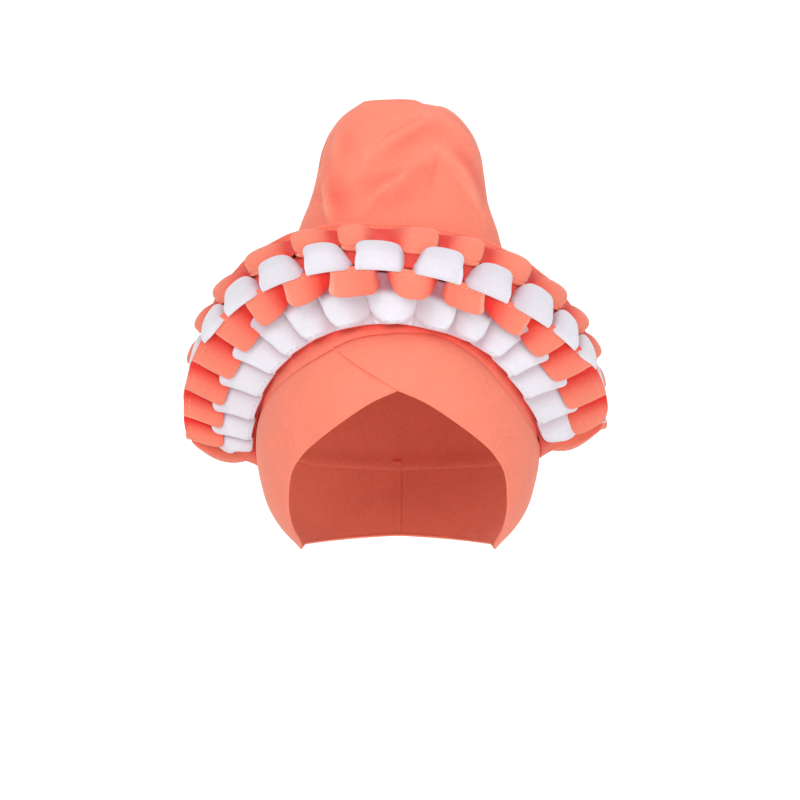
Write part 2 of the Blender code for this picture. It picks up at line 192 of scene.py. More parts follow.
LOOPS = {
    "loops_white_front": (
        (0.02, 0.90, 0.0062, 0.0046, 0.0020, 0.0008, 0.0012, 0.0008, 0,
         0, 0.12, 0, 0.36, 0, 0, 0.07, 0, 0.0013, 0.55, 1, 0.35),
        (0.005, 0.66, 0.0026, 0.0056, 0.0056, 0.0008, 0.0010, 0.0012, 0,
         0.01, 0.24, 0, 0.10, 0, 0, 0, 0, 0.0013, 0.45, 0.2, 0.5),
    ),
    "loops_coral_front": (
        (1.00, 0.62, 0.0010, 0.0058, 0.0072, 0.0008, 0.0036, 0.0060, 0,
         0, 0.70, 0, 0, 0, 0, 0, 0, 0.0020, 1, 0, 0),
        (1.00, 0.44, 0.0010, 0.0062, 0.0078, 0.0008, 0.0010, 0.0010, 0,
         0, 0.36, 0, 0, 0, 0, 0, 0, 0.0022, 1, 0, 0),
    ),
    "loops_white_back": (
        (1.00, 1.76, 0.0040, 0.0058, 0.0050, 0.0006, 0.0004, 0.0008, 0.005,
         0, 0.80, 0, 0, 0, 0, 0, 0.14, 0.0009, 0.8, 0, 0),
        (1.00, 1.78, 0.0028, 0.0040, 0.0038, 0.0006, 0.0004, 0.0006, 0.005,
         0, 0.70, 0, 0, 0, 0, 0, 0.10, 0.0009, 0.8, 0, 0.45),
    ),
    "loops_coral_back": (
        (1.62, 2.94, 0.0016, 0.0080, 0.0008, 0.0004, 0.0008, 0.0022, 0,
         0.08, 0, 0.0040, 0, 0.30, 2.0, 0, 0, 0.0026, 1, 0, 0),
        (1.70, 2.94, 0.0018, 0.0084, 0.0012, 0.0006, 0.0008, 0.0022, 0,
         0.10, 0, 0.0026, 0, 0.26, 1.2, 0, 0, 0.0026, 1, 0, 0),
    ),
}
# The sections between which a row goes from its top values to its side values
LOOP_SIDES = (26, 58)
LOOP_MIDDLES = {
    "loops_white_front": 8.5,
    "loops_coral_front": 8.5,
    "loops_white_back": 8.0,
    "loops_coral_back": 8.0,
}
# Where each row's folds lie: the brim section at the sewn edge and at the free edge, left to right.
LOOP_FOLDS = {
    "loops_white_front": (
        (-94.5, -98.5), (-86.2, -91.5), (-76.3, -82.5), (-66, -72), (-56, -61), (-46.8, -49.5),
        (-37, -37.5), (-25, -24.1), (-9.8, -10.5), (6.3, 6.5), (19.6, 18.1), (31.4, 29.6),
        (42.2, 43.2), (52.8, 55.2), (63.7, 67.5), (76.5, 80.5), (90, 91.7),
    ),
    "loops_coral_front": (
        (-99, -97), (-90.5, -88), (-81, -78.5), (-71, -68), (-58.8, -56.3), (-44.6, -44.6),
        (-31.3, -31.8), (-17.2, -19), (-2.6, -1.9), (11.1, 11.3), (24.4, 25.8), (39.2, 39.2),
        (53, 51.8), (65.8, 64), (80.1, 77.6), (93.6, 91.4),
    ),
    "loops_white_back": (
        (-97, -97), (-86, -86), (-75, -75), (-63.5, -63.5), (-51.5, -51.5), (-37.8, -37.8),
        (-24, -24), (-10.6, -10.6), (3.4, 3.4), (17.6, 17.6), (31.1, 31.1), (45.4, 45.4),
        (57, 57), (69, 69), (81.5, 81.5), (94, 94),
    ),
    "loops_coral_back": (
        (-97, -97), (-88, -88), (-77.5, -77.5), (-66.5, -66.5), (-54.6, -54.6), (-41, -41),
        (-26, -26), (-13.4, -13.4), (-2.6, -2.6), (9.8, 9.8), (21.2, 21.2), (35.5, 35.5),
        (48.8, 48.8), (60.5, 60.5), (72, 72), (83.5, 83.5), (95, 95),
    ),
}
# The shape of one loop, from the side that is tucked under its neighbour to the side that folds over
# the next: shingled loops, and arched ones that stand apart. Short is how far the corners draw back.
SHAPE_COLUMNS = ("step", "along", "height", "short")
SHINGLE_SHAPE = (
    (0.00, -0.12, 0.00, 0.75),
    (0.10, -0.03, 0.04, 0.58),
    (0.22, 0.12, 0.18, 0.36),
    (0.36, 0.31, 0.48, 0.14),
    (0.52, 0.54, 0.82, 0.05),
    (0.68, 0.78, 0.98, 0.04),
    (0.80, 0.94, 1.00, 0.24),
    (0.88, 1.00, 0.88, 0.60),
    (0.94, 0.97, 0.52, 0.80),
    (1.00, 0.88, 0.00, 0.45),
)
ARCH_SHAPE = (
    (0.00, 0.05, 0.00, 1.00),
    (0.06, 0.07, 0.18, 0.70),
    (0.14, 0.13, 0.48, 0.38),
    (0.25, 0.24, 0.78, 0.12),
    (0.40, 0.42, 0.95, 0.01),
    (0.58, 0.64, 1.00, 0.00),
    (0.74, 0.80, 0.98, 0.10),
    (0.84, 0.87, 0.86, 0.34),
    (0.92, 0.88, 0.45, 0.70),
    (1.00, 0.87, 0.00, 1.00),
)
# How far a row's loops are arched ones, at the top of the arch and at the sides
ARCHED = {"loops_white_back": (1, 1), "loops_coral_back": (1, 0)}
# How far from the middle the even loops give way to leaning ones
EVEN_LOOPS = {"loops_coral_front": (0.5, 1.5)}
EVEN_DEFAULT = (0.0, 1.15)
# How much of its height a row loses towards its ends, and between which sections
LOOP_CALM = {"loops_white_back": (0.60, 64, 84)}
CALM_DEFAULT = (0.16, 50, 95)
# How finely a ribbon is divided: steps along each loop and rows across, closer at the sewn edge
LOOP_STEPS = 18
LOOP_ROWS = 18
ROW_CROWDING = 1.2
# Waves that make the loops stand unevenly: share of the height, rate and start
UNEVEN_WAVES = ((0.06, 2.4, 0.6), (0.04, 5.1, 0.0))
# Shares of the width over which a loop leaves its flat corner, before and after the corner's edge
PUFF_EDGES = (0.045, 0.04)
# The share of the width before and after which a rise starts and ends
RISE_START = 0.05
# The steps where the smile sets in on a loop that leans, and the flare's share on its tucked side
SMILE_STEPS = (0.3, 0.6)
FLARE_TUCKED = 0.4
# The line pressed by a hem: its depth, its half width, and the length of one place on the brim
HEM_DEPTH = 0.0004
HEM_WIDTH = 0.0006
PLACE_LENGTH = 0.03
# Painted light on the loops: how fast the painted shade deepens in the folds, where the painted shade
# at the free edge sets in, and the step and half width of the painted highlight along a folded side
FOLD_SHADE_GAIN = 1.4
SHADE_SHARES = (0.50, 0.70)
PAINTED_HIGHLIGHT_LINE = (0.87, 0.05)
# Open valleys beside the middle loops: distance from the row's middle, half width, sink and how low
# the cloth lies there.
GAP_COLUMNS = ("cell", "width", "sink", "low")
NO_GAP = (0.0, 1.0, 0.0, 0.0)
GAPS = {
    "loops_coral_front": (0.60, 0.10, 0.0085, 1.0),
    "loops_white_back": (0.0, 0.14, 0.0000, 1.0),
    "loops_coral_back": (0.0, 0.30, 0.0000, 0.72),
}
# How many loops at a row's ends are rounded off, over which steps, and how far at the sewn edge and at
# the free edge
ROUND_ENDS = 1
ROUND_STEPS = (0.35, 1.0)
END_LOOPS = {
    "loops_white_front": (0.34, 0.30),
    "loops_coral_front": (0.20, 0.16),
}
# How far the coral ribbon's sewn edge stands out past the front rim, at the sides
RIM_OVERHANG = 0.0028
# Where along the rim the rear white hem goes from over the rim to behind the coral row, in degrees
HEM_TUCKED = (58, 72)
# The white hem that turns down over the front rim: share of the width, place on the front and lift
RIM_HEM = (0.16, 0.985, 0.0037)
# In the folds that hem turns under instead: how far, and between which depths of the fold. It blends into
# the ribbon between these multiples of its share.
HEM_TURN_UNDER = (1.9, (0.35, 0.80))
HEM_BLEND = (0.4, 1.6)

# The bands: piece, node, side of the cap, whether it lies over the other one, and its cloth in m2
BANDS = (
    ("band_lower", "band_left", -1, False, 0.0185),
    ("band_upper", "band_right", 1, True, 0.017),
)

# Rim tape rows: place on the brim, and height over it.
TAPE_ROWS = ((2.86, 0.0013), (2.93, 0.0014), (2.98, 0.0022), (3.0, 0.0040), (3.0, 0.0058))
# Sections of the tape's two ends, and its ripples: depth and degrees to a radian
TAPE_ENDS = (-98, 95)
TAPE_RIPPLE = (0.0004, 2.3)
# Heights over the back rim just below, on and just above the tape's stitches
TAPE_STITCH_RISES = (0.0030, 0.0034, 0.0038)

# Soft folds of the crown, a row for each: angle and height of both ends, depth inwards, and how wide
# the fold runs on its sharp side and on its soft side. A ridge has a depth below zero.
FOLD_COLUMNS = ("from_angle", "from_height", "to_angle", "to_height", "depth", "sharp", "soft")
FOLDS = (
    (32, 0.099, -24, 0.070, -0.0036, 0.0026, 0.020),
    (27, 0.073, -34, 0.056, -0.0026, 0.0030, 0.016),
    (10, 0.062, -18, 0.042, -0.0020, 0.0026, 0.012),
    (40, 0.096, 64, 0.066, -0.0030, 0.0022, 0.012),
    (28, 0.074, 62, 0.034, -0.0038, 0.0022, 0.016),
    (36, 0.092, 16, 0.034, 0.0016, 0.0030, 0.008),
    (-60, 0.086, -49, 0.063, -0.0016, 0.0030, 0.009),
    (-63, 0.056, -40, 0.026, -0.0036, 0.0024, 0.012),
    (-74, 0.046, -46, 0.040, 0.0020, 0.0030, 0.008),
    (-22, 0.026, 2, 0.060, 0.0014, 0.0040, 0.012),
    (-78, 0.086, -86, 0.050, 0.0018, 0.0030, 0.010),
    (100, 0.088, 84, 0.020, 0.0028, 0.0030, 0.014),
    (132, 0.096, 118, 0.030, -0.0032, 0.0030, 0.016),
    (-120, 0.094, -98, 0.030, 0.0030, 0.0030, 0.016),
    (-150, 0.092, -168, 0.040, -0.0034, 0.0030, 0.018),
    (186, 0.088, 160, 0.020, 0.0024, 0.0030, 0.014),
    (170, 0.060, 130, 0.018, -0.0026, 0.0028, 0.014),
)
# How a fold fades at its ends, how fast it falls off to its sides, and the depth that gets the strongest
# painted shade or highlight
FOLD_FADE = (0.06, 0.94)
FOLD_POWER = 1.5
FOLD_DEPTH = 0.0036
# The line along a crease: half width, its painted highlight on a ridge and its painted shade in a valley
CREASE_WIDTH = 0.0021
RIDGE_PAINTED_HIGHLIGHT = 0.85
VALLEY_PAINTED_SHADE = 0.40
# Painted shade on a ridge's soft side: strength, distance, half width and where that side starts
RIDGE_SHADE = (0.38, 0.009, 0.008)
RIDGE_SIDE = (0.002, 0.008)
# The notch in the crown's top: place across, half width and depth, and the heights over which it sets in
TIP_NOTCH = (0.0185, 0.0060, 0.0042)
NOTCH_HEIGHTS = (0.088, 0.104)

# The cloth that runs on under a seam lies this far in, and an edge lies this far short of the seam
SEAM_UNDER = 0.0019
SEAM_CLEAR = 0.0001
# Painted shadow on the cap close below the brim: strength, reach and how fast it fades; and the
# painted shade in the band seam
BRIM_SHADE = (0.8, 0.005, 1.3)
SEAM_SHADE = (0.85, 0.0011)
# How deep the cloth dips at a seam, and over what reach: at the band seam, and at the crown seam on the
# dome's side and on the crown's
BAND_SEAM_DIP = (0.0010, 0.0016)
CROWN_SEAM_DIP = (0.0008, 0.0018)
# Puckers above the band seam: depth, number to one radian, distance from the seam and half width
PUCKERS = (0.00035, 34, 0.012, 0.008)
# The bands' front edge: place, height and half width of its ridge, then height and half width of its roll
EDGE_RIDGE = (0.0012, 0.0004, 0.0016)
EDGE_ROLL = (0.0007, 0.0009)
# Faint waves of the bands round the front: depth, degrees to a radian, rate up the band, and reach
BAND_WAVES = (0.00045, 3.1, 90, 24)
# The share of its lift that the upper band keeps at the seam, and how far the seam holds the bands down
SEAM_LIFT_SHARE = 0.15
SEAM_FADE = 0.008
# Where the bands end at the back, the lower one running on under the upper, and where it starts to sink
BAND_BACK = {"band_lower": 181.5, "band_upper": 179.93}
BAND_BACK_SINK = (178.0, 179.6)

# How finely the pieces are divided: steps round or along a piece, and rows up or across it
DOME_STEPS, DOME_ROWS = 180, 36
CROWN_STEPS, CROWN_ROWS = 270, 110
BAND_END_STEPS, BAND_STEPS, BAND_ROWS = 32, 124, 34
BRIM_STEPS, FACE_ROWS, TOP_ROWS, REAR_ROWS, WALL_ROWS = 120, 16, 26, 18, 15
TAPE_STEPS, TAPE_LINE_STEPS, SEAM_STEPS = 260, 1200, 160
# Rows that run on under a seam: shares of the dome's height, and depths of the crown's under its seam
DOME_UNDER = (-0.06, -0.03)
CROWN_UNDER = (0.003, 0.001)
# How the crown's rows crowd towards its tip
TIP_CROWDING = 0.9

# One stitch: share of its length, how thick the thread is there, and how far it stands out of the cloth
# in half widths of the thread
STITCH_SHAPE = (
    (0.00, 0.35, -0.60),
    (0.18, 0.90, 0.35),
    (0.50, 1.00, 0.80),
    (0.82, 0.90, 0.35),
    (1.00, 0.35, -0.60),
)
STITCH_SIDES = 6
# How much the fine grain lightens and darkens each cloth
CORAL_SPECKLE = 0.05
WHITE_SPECKLE = 0.022
# Painted shade in the grooves between the thread's plies, as a share of the full colour
PLY_SHADE = 0.86
# Rows of stitches on the ribbons: piece, ribbon and share of its width
STITCH_ROWS = (
    ("stitches_front_rim", "loops_coral_front", 0.12),
    ("stitches_back_hem", "loops_coral_back", 0.05),
    ("stitches_back_hem_inner", "loops_coral_back", 0.13),
    ("stitches_cap_hem", "loops_white_front", 0.05),
)
# A stitch line is measured at this many steps a loop, and this share of the width to both sides
LINE_STEPS = 100
LINE_SPAN = 0.01
# Stitches show where the painted shade in a fold is under this share of its row's deepest painted shade
STITCH_SHOWN = 0.5

# Camera: what the photo's centre looks at, in x and z, the camera's distance, the width of its field
# there and the width of its sensor; then how far the floor lies under the cap
PHOTO_CENTRE = (0.0012, -0.0787)
CAMERA_BACK = 1.8
PHOTO_FIELD = 0.496
SENSOR = 0.036
FLOOR_DROP = 0.30
# The backdrop's width, how far it reaches behind and in front, its height and the radius of its bend,
# and the points along that bend
BACKDROP = (9.0, 2.4, 3.2, 3.2, 0.9)
BEND_POINTS = 14
# Lights: name, place, size and power in watts. The rear one lights the backdrop, the others the cap.
LIGHTS = (
    ("key", (-0.7, -1.7, 0.75), 1.1, 14),
    ("fill", (1.0, -1.6, -0.25), 1.5, 12),
    ("top", (0.1, -0.4, 1.5), 1.4, 5),
    ("rear", (0.0, 1.3, 0.9), 1.6, 16),
)
REAR_AIM = (0, 2.4, 0.2)
ROOM_LIGHT = 0.60


def smooth(places, values, at):
    """A smooth curve through the table's values, which keeps its end values past the table's ends."""
    places, values = np.asarray(places, float), np.asarray(values, float)
    at = np.clip(np.asarray(at, float), places[0], places[-1])
    slopes = np.gradient(values, places)
    i = np.clip(np.searchsorted(places, at) - 1, 0, len(places) - 2)
    span = places[i + 1] - places[i]
    t = (at - places[i]) / span
    low = values[i] * (1 + 2 * t) * (1 - t) ** 2 + slopes[i] * span * t * (1 - t) ** 2
    high = values[i + 1] * t**2 * (3 - 2 * t) + slopes[i + 1] * span * t**2 * (t - 1)
    return low + high


def column(rows, names, name):
    return np.array([row[names.index(name)] for row in rows], float)


def unit(vectors):
    return vectors / np.maximum(np.linalg.norm(vectors, axis=-1, keepdims=True), 1e-9)


def ramp(value, start, end):
    t = np.clip((value - start) / (end - start), 0, 1)
    return t * t * (3 - 2 * t)


def hump(distance, height, width, power=2):
    """A smooth hump of a height, seen at a distance from its middle."""
    return height * np.exp(-(np.abs(distance / width) ** power))


def ring_size(name, height):
    return smooth(column(RINGS, RING_COLUMNS, "height"), column(RINGS, RING_COLUMNS, name), height)


def cap_point(angle, height, out=0.0):
    """A point on the cap's outside. The angle is in degrees from the front, positive towards +X."""
    turn = np.radians(np.asarray(angle, float))
    height = np.asarray(height, float)
    depth = np.where(np.cos(turn) > 0, ring_size("front", height), ring_size("back", height))
    x = (ring_size("half_width", height) + out) * np.sin(turn)
    y = -(depth + out) * np.cos(turn)
    return np.stack([x, y, height + 0 * x], axis=-1)


def seam_height(angle):
    places = column(BAND_SEAM, SEAM_LINE_COLUMNS, "angle")
    minus, plus = (column(BAND_SEAM, SEAM_LINE_COLUMNS, side) for side in SEAM_LINE_COLUMNS[1:])
    return np.where(angle < 0, smooth(places, minus, -angle), smooth(places, plus, angle))


def front_edge_height(angle):
    places, heights = zip(*FRONT_EDGE)
    return smooth(places, heights, np.abs(angle))


def signed_power(value, power):
    return np.sign(value) * np.abs(value) ** power


def rim_point(name, section):
    """A point on one of the brim's rims, at a section angle from the top of the arch."""
    rim = dict(zip(RIM_COLUMNS, RIMS[name]))
    turn = np.radians(section)
    power = 2 / rim["square"]
    x = RIM_SHIFT + rim["half_width"] * signed_power(np.sin(turn), power)
    z = rim["side"] + (rim["top"] - rim["side"]) * signed_power(np.cos(turn), power)
    y = rim["side_y"] + (rim["front_y"] - rim["side_y"]) * signed_power(np.cos(turn), DEPTH_POWER)
    return np.stack([x, y, z - rim["droop"] * np.sin(2 * turn)], axis=-1)


def seam_place(edge, section):
    """The cap angle and the height of the brim's front seam or back seam at a section."""
    places = column(BRIM_SEAMS, SEAM_COLUMNS, "section")
    angle = smooth(places, column(BRIM_SEAMS, SEAM_COLUMNS, edge + "_angle"), np.abs(section))
    height = smooth(places, column(BRIM_SEAMS, SEAM_COLUMNS, edge + "_height"), np.abs(section))
    height = height - SEAM_DROOP * np.sin(2 * np.radians(section))
    if edge == "front":
        forward, grows, fades = SEAM_FORWARD
        angle = angle - forward * ramp(section, *grows) * (1 - ramp(section, *fades))
    return np.sign(section) * angle, height


def brim_face(section, place):
    """A point on the brim: 0 front seam, 1 front rim, 2 shoulder, 3 back rim, 4 back seam."""
    section, place = np.broadcast_arrays(np.asarray(section, float), np.asarray(place, float))
    front, shoulder, back = (rim_point(name, section) for name in RIMS)
    seam = cap_point(*seam_place("front", section), SEAT)
    p = place[..., None]
    tangent = rim_point("front", section + SLOPE_SPAN) - rim_point("front", section - SLOPE_SPAN)
    inward = unit(np.cross(front - seam, tangent))
    face = seam + (front - seam) * p + inward * BRIM_DIP * 4 * p * (1 - p)
    r = p - 1
    top = front * (r - 1) * (r - 2) / 2 - shoulder * r * (r - 2) + back * r * (r - 1) / 2
    rear = back + (cap_point(*seam_place("back", section), SEAT) - back) * (p - 3)
    return np.where(p <= 1, face, np.where(p <= 3, top, rear))


def brim_normal(section, place, side):
    """The outward direction of the brim's face; side keeps to one side of the front rim."""
    low, high = (0.0, 1.0) if side == "front" else (1.0, 3.0)
    near = np.clip(place - PLACE_SPAN, low, high)
    far = np.clip(place + PLACE_SPAN, low, high)
    across = brim_face(section, far) - brim_face(section, near)
    along = brim_face(section + SLOPE_SPAN, place) - brim_face(section - SLOPE_SPAN, place)
    return unit(np.cross(along, across))


def three_point(start, middle, end, v):
    """A smooth value that passes through three values at 0, a half and 1."""
    return start * 2 * (v - 0.5) * (v - 1) - middle * 4 * v * (v - 1) + end * 2 * v * (v - 0.5)


def loop_shape(name, step, aside):
    """Along, height and short of one loop at a step from its tucked side to its folded side."""
    at_top, at_side = ARCHED.get(name, (0, 0))
    arched = at_top + (at_side - at_top) * aside
    shapes = []
    for rows in (SHINGLE_SHAPE, ARCH_SHAPE):
        steps = column(rows, SHAPE_COLUMNS, "step")
        shape = [smooth(steps, column(rows, SHAPE_COLUMNS, part), step) for part in SHAPE_COLUMNS[1:]]
        shapes.append(shape)
    return [shingled + (arch - shingled) * arched for shingled, arch in zip(*shapes)]


def leaning_shape(name, step, aside, lean):
    """The shape of a loop that stands even at the row's middle and leans further out."""
    along, height, short = loop_shape(name, step, aside)
    even = np.abs(2 * step - 1)
    along = step + lean * (along - step)
    height = 1 - even**4 + lean * (height - 1 + even**4)
    short = even**3 + lean * (short - even**3)
    return along, height, short


def crest_height(name, loop, v, short, section, number):
    """How high the loops' crests stand over the brim's face."""
    lost, start, end = LOOP_CALM.get(name, CALM_DEFAULT)
    calm = 1 - lost * ramp(np.abs(section), start, end)
    uneven = 1 + sum(share * np.sin(rate * number + begin) for share, rate, begin in UNEVEN_WAVES)
    flat_to = loop["puff"] * short
    before, after = PUFF_EDGES
    puffed = np.where(loop["puff"] > 0, ramp(v, flat_to - before, flat_to + after), 1)
    rising = np.where(loop["rise"] > 0, ramp(v, -RISE_START, RISE_START + loop["rise"]), 1)
    crest = three_point(loop["crest_sewn"], loop["crest_middle"], loop["crest_free"], v)
    return crest * calm * uneven * puffed * rising


def rim_hem(points, section, place, v, out, height):
    """The white ribbon's points with its sewn edge turned down over the front rim."""
    share, rim_place, rim_lift = RIM_HEM
    under, depths = HEM_TURN_UNDER
    near, far = HEM_BLEND
    turn = ramp(v, 0, share)
    ahead = brim_normal(section, np.full(v.shape, rim_place), "front")
    looks = unit(ahead + (out - ahead) * turn[..., None])
    rise = rim_lift * (1 - under * ramp(1 - height, *depths))
    looks = np.where(rise[..., None] > 0, looks, unit(ahead + out))
    hung = brim_face(section, rim_place + (place - rim_place) * turn) + looks * rise[..., None]
    over_rim = (1 - ramp(v, near * share, far * share)) * (1 - ramp(np.abs(section), *HEM_TUCKED))
    return points + (hung - points) * over_rim[..., None]


def past_rim(section, v, aside):
    """How the coral ribbon's sewn edge stands out past the front rim."""
    outward = unit(rim_point("front", section) - cap_point(*seam_place("front", section), SEAT))
    return outward * (RIM_OVERHANG * aside * (1 - v) ** 2)[..., None]


def loop_painted_light(loop, v, step, height, lean):
    """Painted shade in a ribbon's folds and at its free edge, and painted light on its folded edges and
    the rest of it.
    """
    pale_step, pale_width = PAINTED_HIGHLIGHT_LINE
    edge = lean * hump(step - pale_step, 1, pale_width)
    fold = loop["painted_fold_shade"] * np.clip(FOLD_SHADE_GAIN * np.clip(1 - height, 0, 1), 0, 1)
    fold = np.maximum(fold, loop["shade"] * ramp(v, *SHADE_SHARES))
    return fold, np.maximum(edge, loop["painted_light"] * (1 - fold))


def loop_surface(name, cells, shares):
    """The middle of a looped ribbon, and the painted shade and painted light of its points.

    Cells count the loops from the row's middle, and shares run from its sewn edge to its free edge.
    """
    middle = LOOP_MIDDLES[name]
    folds = np.array(LOOP_FOLDS[name], float)
    cell, v = np.meshgrid(cells, shares, indexing="ij")
    away, half = np.sign(cell), middle % 1
    count = np.abs(cell) + half
    whole = np.floor(count - 1e-9)
    step = count - whole
    order = np.arange(len(folds))
    rough = np.interp(away * count + middle - away * half, order, folds.mean(axis=1))
    aside = ramp(np.abs(rough), *LOOP_SIDES)
    loop = {key: top + (side - top) * aside for key, top, side in zip(LOOP_COLUMNS, *LOOPS[name])}
    lean = ramp(np.abs(cell), *EVEN_LOOPS.get(name, EVEN_DEFAULT))
    along, height, short = leaning_shape(name, step, aside, lean)
    aslant = 2 * step - 1
    along = along + loop["bulge"] * aslant * np.sin(np.pi * v)
    along = along + loop["flare"] * np.maximum(aslant, FLARE_TUCKED * aslant) * (1 - v) ** 3
    index = away * (whole + along - half) + middle
    at_sewn, at_free = (np.interp(index, order, folds[:, k]) for k in (0, 1))
    section = at_sewn + (at_free - at_sewn) * v

    gap = dict(zip(GAP_COLUMNS, GAPS.get(name, NO_GAP)))
    opening = hump(np.abs(cell) - gap["cell"], 1, gap["width"], 4) * (gap["low"] > 0)
    height = height ** (1 + loop["pinch"] * v**2) * (1 - gap["low"] * opening)
    lift = three_point(loop["lift_sewn"], loop["lift_middle"], loop["lift_free"], v)
    lift = lift + loop["smile"] * short * (1 - v) ** 2 * (1 - lean * (1 - ramp(step, *SMILE_STEPS)))
    lift = lift - loop["sink"] * (1 - height) ** 2 - gap["sink"] * opening

    from_sewn = loop["scallop_sewn"] * short * (1 - v) ** 2
    from_free = loop["scallop_free"] * short * v**1.5
    if name in END_LOOPS:
        outermost = (index < ROUND_ENDS) | (index > len(folds) - 1 - ROUND_ENDS)
        round_off = outermost * ramp(step, *ROUND_STEPS) ** 2
        from_sewn = from_sewn + END_LOOPS[name][0] * round_off * (1 - v)
        from_free = from_free + END_LOOPS[name][1] * round_off * v
    reach = loop["free"] - loop["sewn"]
    face, limits = ("front", (0.0, 1.0)) if "front" in name else ("top", (1.0, 3.0))
    place = np.clip(loop["sewn"] + reach * (v + from_sewn - from_free), *limits)
    hem = hump(v * np.abs(reach) * PLACE_LENGTH - loop["hem"], HEM_DEPTH, HEM_WIDTH)
    crest = crest_height(name, loop, v, short, section, away * (whole + 1))
    out = brim_normal(section, place, face)
    points = brim_face(section, place) + out * (lift + crest * height - hem)[..., None]
    if name == "loops_coral_front":
        points += past_rim(section, v, aside)
    if name == "loops_white_back":
        points = rim_hem(points, section, place, v, out, height)
    return points, *loop_painted_light(loop, v, step, height, lean)


def folded(points):
    """The crown's points with its soft folds and its notch, and the painted shade and painted highlights
    along the folds.
    """
    push = np.zeros(points.shape[:-1])
    deep, painted_light = push.copy(), push.copy()
    for row in FOLDS:
        fold = dict(zip(FOLD_COLUMNS, row))
        start = cap_point(fold["from_angle"], fold["from_height"])
        end = cap_point(fold["to_angle"], fold["to_height"])
        line = end - start
        t = np.clip((points - start) @ line / (line @ line), 0, 1)
        near = start + t[..., None] * line
        away = points - near
        side = np.sum(np.cross(away, line) * unit(near * np.array([1, 1, 0])), axis=-1)
        width = np.where(side > 0, fold["sharp"], fold["soft"])
        reach = np.linalg.norm(away, axis=-1)
        fade = np.sin(np.pi * np.clip(t, *FOLD_FADE))
        push += fade * hump(reach, fold["depth"], width, FOLD_POWER)
        strength = fade * abs(fold["depth"]) / FOLD_DEPTH
        # Painted highlight along a ridge's crease and painted shade on its soft side; painted shade along
        # a valley's crease
        crisp = strength * hump(reach, 1, CREASE_WIDTH, FOLD_POWER)
        if fold["depth"] < 0:
            shade, distance, shade_width = RIDGE_SHADE
            aside = ramp(-side / np.linalg.norm(line), *RIDGE_SIDE)
            painted_light += RIDGE_PAINTED_HIGHLIGHT * crisp
            deep += strength * hump(reach - distance, shade, shade_width) * aside
        else:
            deep += VALLEY_PAINTED_SHADE * crisp
    axis = points * 0
    axis[..., 1] = CROWN_TIP[1]
    axis[..., 2] = points[..., 2]
    moved = points - unit(points - axis) * push[..., None]
    notch_x, notch_width, notch_depth = TIP_NOTCH
    notch = hump(points[..., 0] - notch_x, notch_depth, notch_width)
    moved[..., 2] -= notch * ramp(points[..., 2], *NOTCH_HEIGHTS)
    shift, start, end = CROWN_SHIFT
    moved[..., 0] += shift * ramp(points[..., 2], start, end)
    return moved, deep, painted_light


class TurbanSizes(bpy.types.PropertyGroup):
    """Sizes of the turban cap's cloth, hems and stitching."""

    cap_cloth: bpy.props.FloatProperty(
        name="Cap cloth", description="Thickness of the cap, crown, bands and brim",
        default=0.0015, min=0.0005, unit="LENGTH",
    )
    ribbon_cloth: bpy.props.FloatProperty(
        name="Ribbon cloth", description="Thickness of the looped ribbons",
        default=0.0013, min=0.0005, unit="LENGTH",
    )
    tape_cloth: bpy.props.FloatProperty(
        name="Tape cloth", description="Thickness of the tape on the back rim",
        default=0.0013, min=0.0005, unit="LENGTH",
    )
    crossing_lift: bpy.props.FloatProperty(
        name="Crossing lift", description="How far the upper band stands over the lower one",
        default=0.0016, unit="LENGTH",
    )
    stitch_length: bpy.props.FloatProperty(
        name="Stitch length", description="Length of one topstitch",
        default=0.0026, unit="LENGTH",
    )
    stitch_gap: bpy.props.FloatProperty(
        name="Stitch gap", description="Space between two topstitches",
        default=0.0011, unit="LENGTH",
    )
    thread: bpy.props.FloatProperty(
        name="Thread", description="Half the width of the sewing thread",
        default=0.00027, unit="LENGTH",
    )


